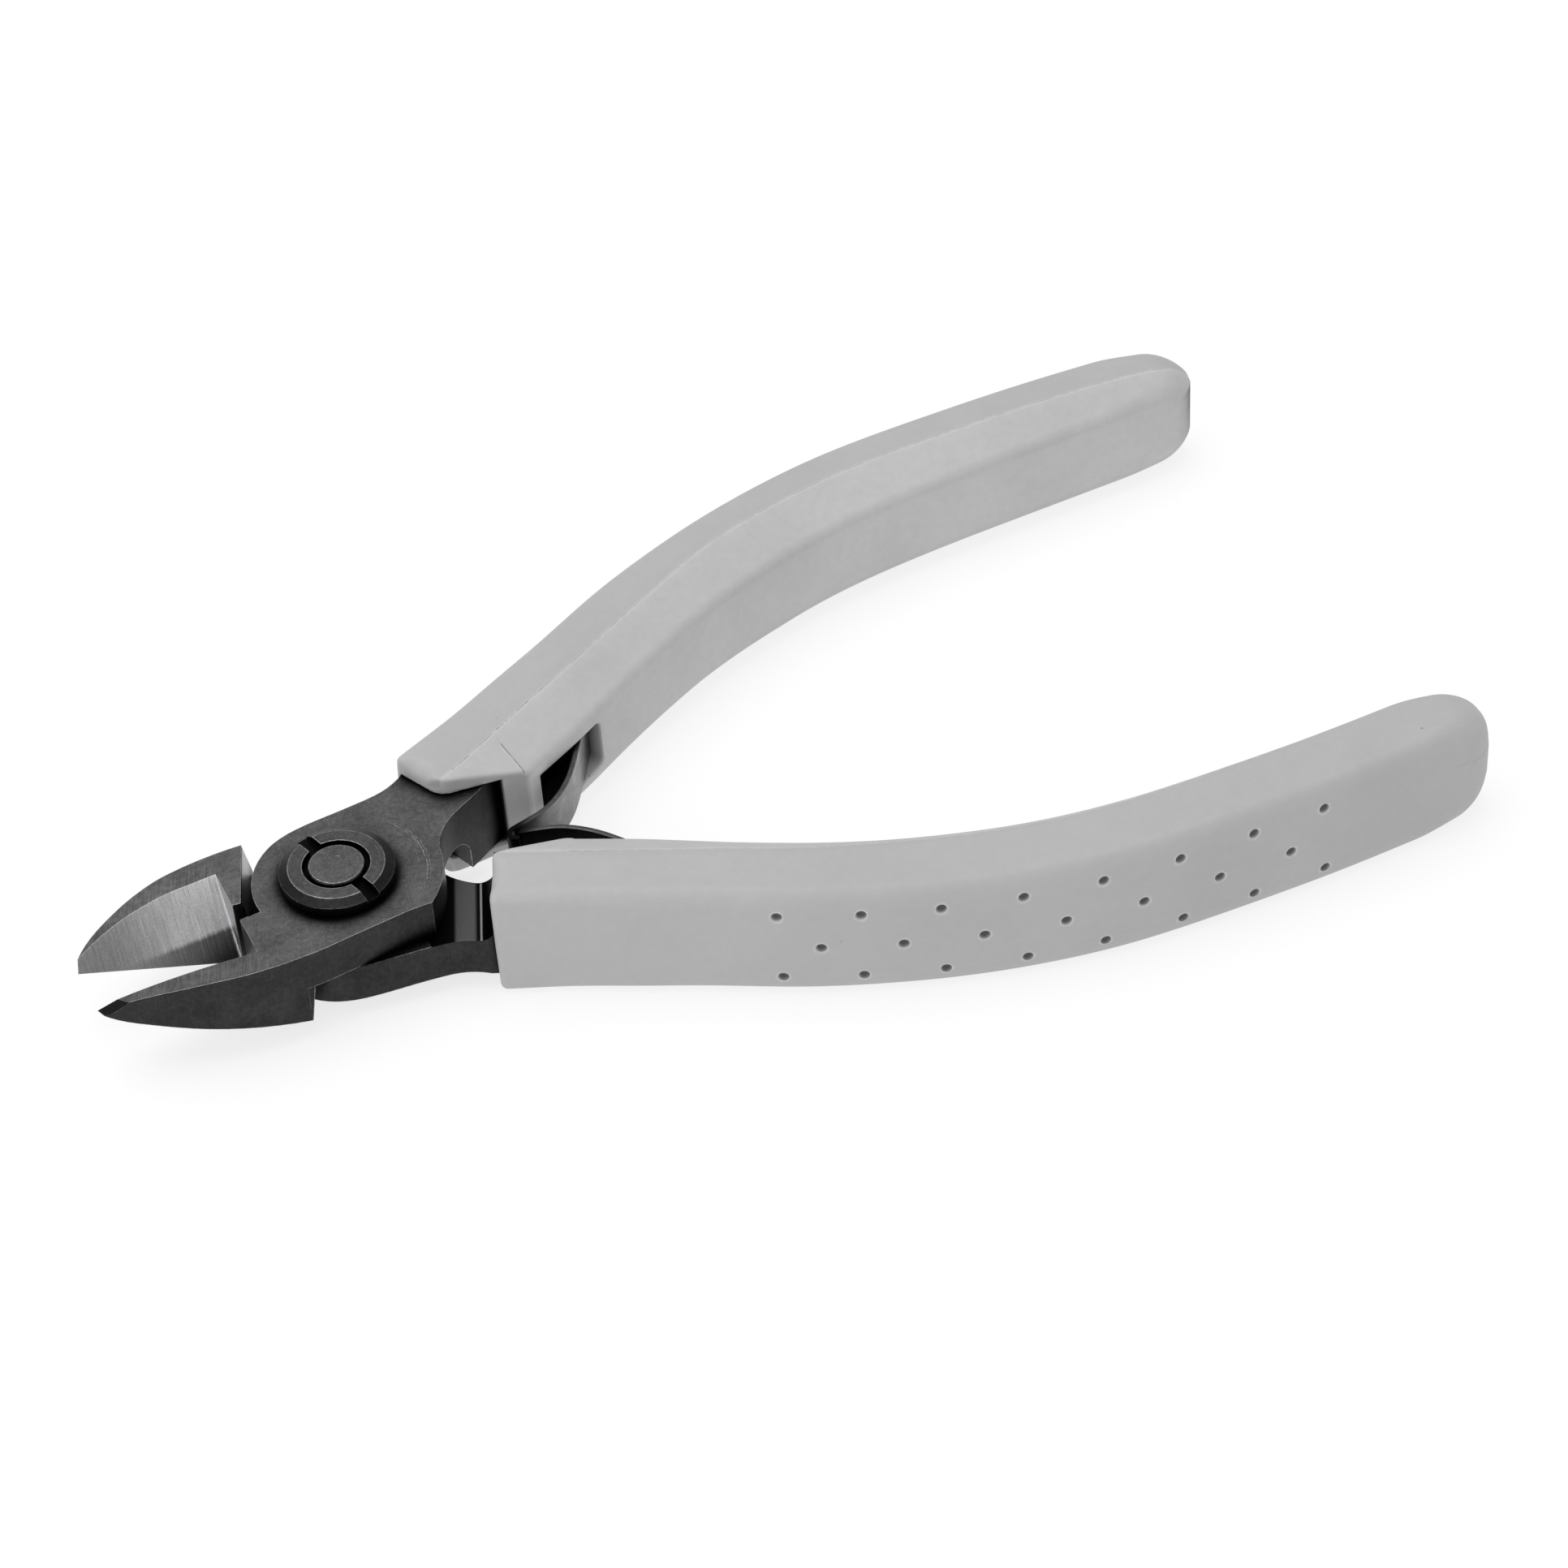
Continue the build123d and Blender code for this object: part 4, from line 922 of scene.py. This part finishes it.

# ---------------------------------------------------------------------------
# Leaf springs: strips on edge with rounded corners.
# ---------------------------------------------------------------------------


def leaf(name, s, hook):
    pts_ = (LEAF_HOOK[::-1] if hook else []) + LEAF
    pts_ = np.array(pts_, float)
    sx, sy = natural_spline(pts_[:, 0]), natural_spline(pts_[:, 1])
    t = np.linspace(0, len(pts_) - 1.0001, 150)
    c = np.stack([sx(t), sy(t)], 1)
    tn = np.gradient(c, axis=0)
    tn /= np.linalg.norm(tn, axis=1)[:, None]
    nn = np.stack([-tn[:, 1], tn[:, 0]], 1)
    h, b, r = LEAF_T / 2, LEAF_W, 0.10
    prof = []
    for cx, cy, a0 in ((h - r, b - r, 0), (-h + r, b - r, 90), (-h + r, -b + r, 180), (h - r, -b + r, 270)):
        for k in range(4):
            a = math.radians(a0 + 30 * k)
            prof.append((cx + r * math.cos(a), cy + r * math.sin(a)))
    n = len(prof)
    v, f = [], []
    for k in range(len(c)):
        e = min(1.0, k / 2.0)
        for (q, z) in prof:
            v.append((c[k, 0] + nn[k, 0] * q * (0.75 + 0.25 * e), s * (c[k, 1] + nn[k, 1] * q * (0.75 + 0.25 * e)), z * (0.97 + 0.03 * e)))
    for k in range(len(c) - 1):
        for i in range(n):
            j = (i + 1) % n
            q = [k * n + i, k * n + j, (k + 1) * n + j, (k + 1) * n + i]
            f.append(q[::-1] if s > 0 else q)
    f.append(list(range(n)) if s > 0 else list(range(n))[::-1])
    e = (len(c) - 1) * n
    f.append([e + i for i in range(n)][::-1] if s > 0 else [e + i for i in range(n)])
    me = bpy.data.meshes.new(name)
    me.from_pydata([tuple(world(p)) for p in v], [], f)
    me.update()
    me.polygons.foreach_set("use_smooth", np.ones(len(me.polygons), bool))
    me.set_sharp_from_angle(angle=math.radians(50))
    o = bpy.data.objects.new(name, me)
    scene.collection.objects.link(o)
    import bmesh
    bm = bmesh.new()
    bm.from_mesh(me)
    bmesh.ops.recalc_face_normals(bm, faces=bm.faces)
    bm.to_mesh(me)
    bm.free()
    return o


leaf_a = leaf("leaf_far", 1, True)
leaf_b = leaf("leaf_near", -1, False)
set_mat(leaf_a, spring_steel("leaf_steel_a", 0.235, 0.080, hook=True))
# painted shade: the near leaf's steel is set near black
set_mat(leaf_b, spring_steel("leaf_steel_b_painted_shade", 0.012, 0.10))
root, tip = np.array([25.0, 7.6, 0.0]), np.array([16.2, 0.0, 0.0])
for o, node_, s in ((leaf_a, "leaf_spring_a", 1), (leaf_b, "leaf_spring_b", -1)):
    r_ = root * np.array([1, s, 1])
    if s > 0:
        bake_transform(o)
    else:
        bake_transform(o)
    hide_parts(node_)

# ---------------------------------------------------------------------------
# Stage and light
# ---------------------------------------------------------------------------
scene.view_settings.view_transform = "Standard"
scene.view_settings.look = "None"
scene.view_settings.exposure = 0.0
me = bpy.data.meshes.new("floor")
S_ = 3.0
me.from_pydata([(-S_, -S_, -0.00002), (S_, -S_, -0.00002), (S_, S_, -0.00002), (-S_, S_, -0.00002)], [], [(0, 1, 2, 3)])
floor = bpy.data.objects.new("floor", me)
scene.collection.objects.link(floor)
fm = Mat("floor_white")
fb = fm.n("BsdfPrincipled", {"Base Color": grey(0.25), "Roughness": 0.9, "Specular IOR Level": 0.1, "Emission Color": grey(1.0),
                             "Emission Strength": 0.75})
fm.t.links.new(fb.outputs[0], fm.out.inputs[0])
set_mat(floor, fm.m)

wd = bpy.data.worlds.new("studio")
scene.world = wd
wd.use_nodes = True
bg = wd.node_tree.nodes.get("Background") or wd.node_tree.nodes.new("ShaderNodeBackground")
bg.inputs[0].default_value = (1, 1, 1, 1)
bg.inputs[1].default_value = 0.70


def area(name, loc, target, size, power, shape="DISK"):
    l = bpy.data.lights.new(name, "AREA")
    l.shape, l.size, l.energy = shape, size, power
    o = bpy.data.objects.new(name, l)
    scene.collection.objects.link(o)
    o.location = loc
    o.rotation_euler = (Vector(target) - Vector(loc)).to_track_quat("-Z", "Y").to_euler()
    return o


area("key_top", (-0.10, 0.10, 0.80), (0, 0, 0), 0.8, 3.0)
area("fill_left", (-0.60, -0.12, 0.15), (0, 0, 0.005), 0.4, 0.7)
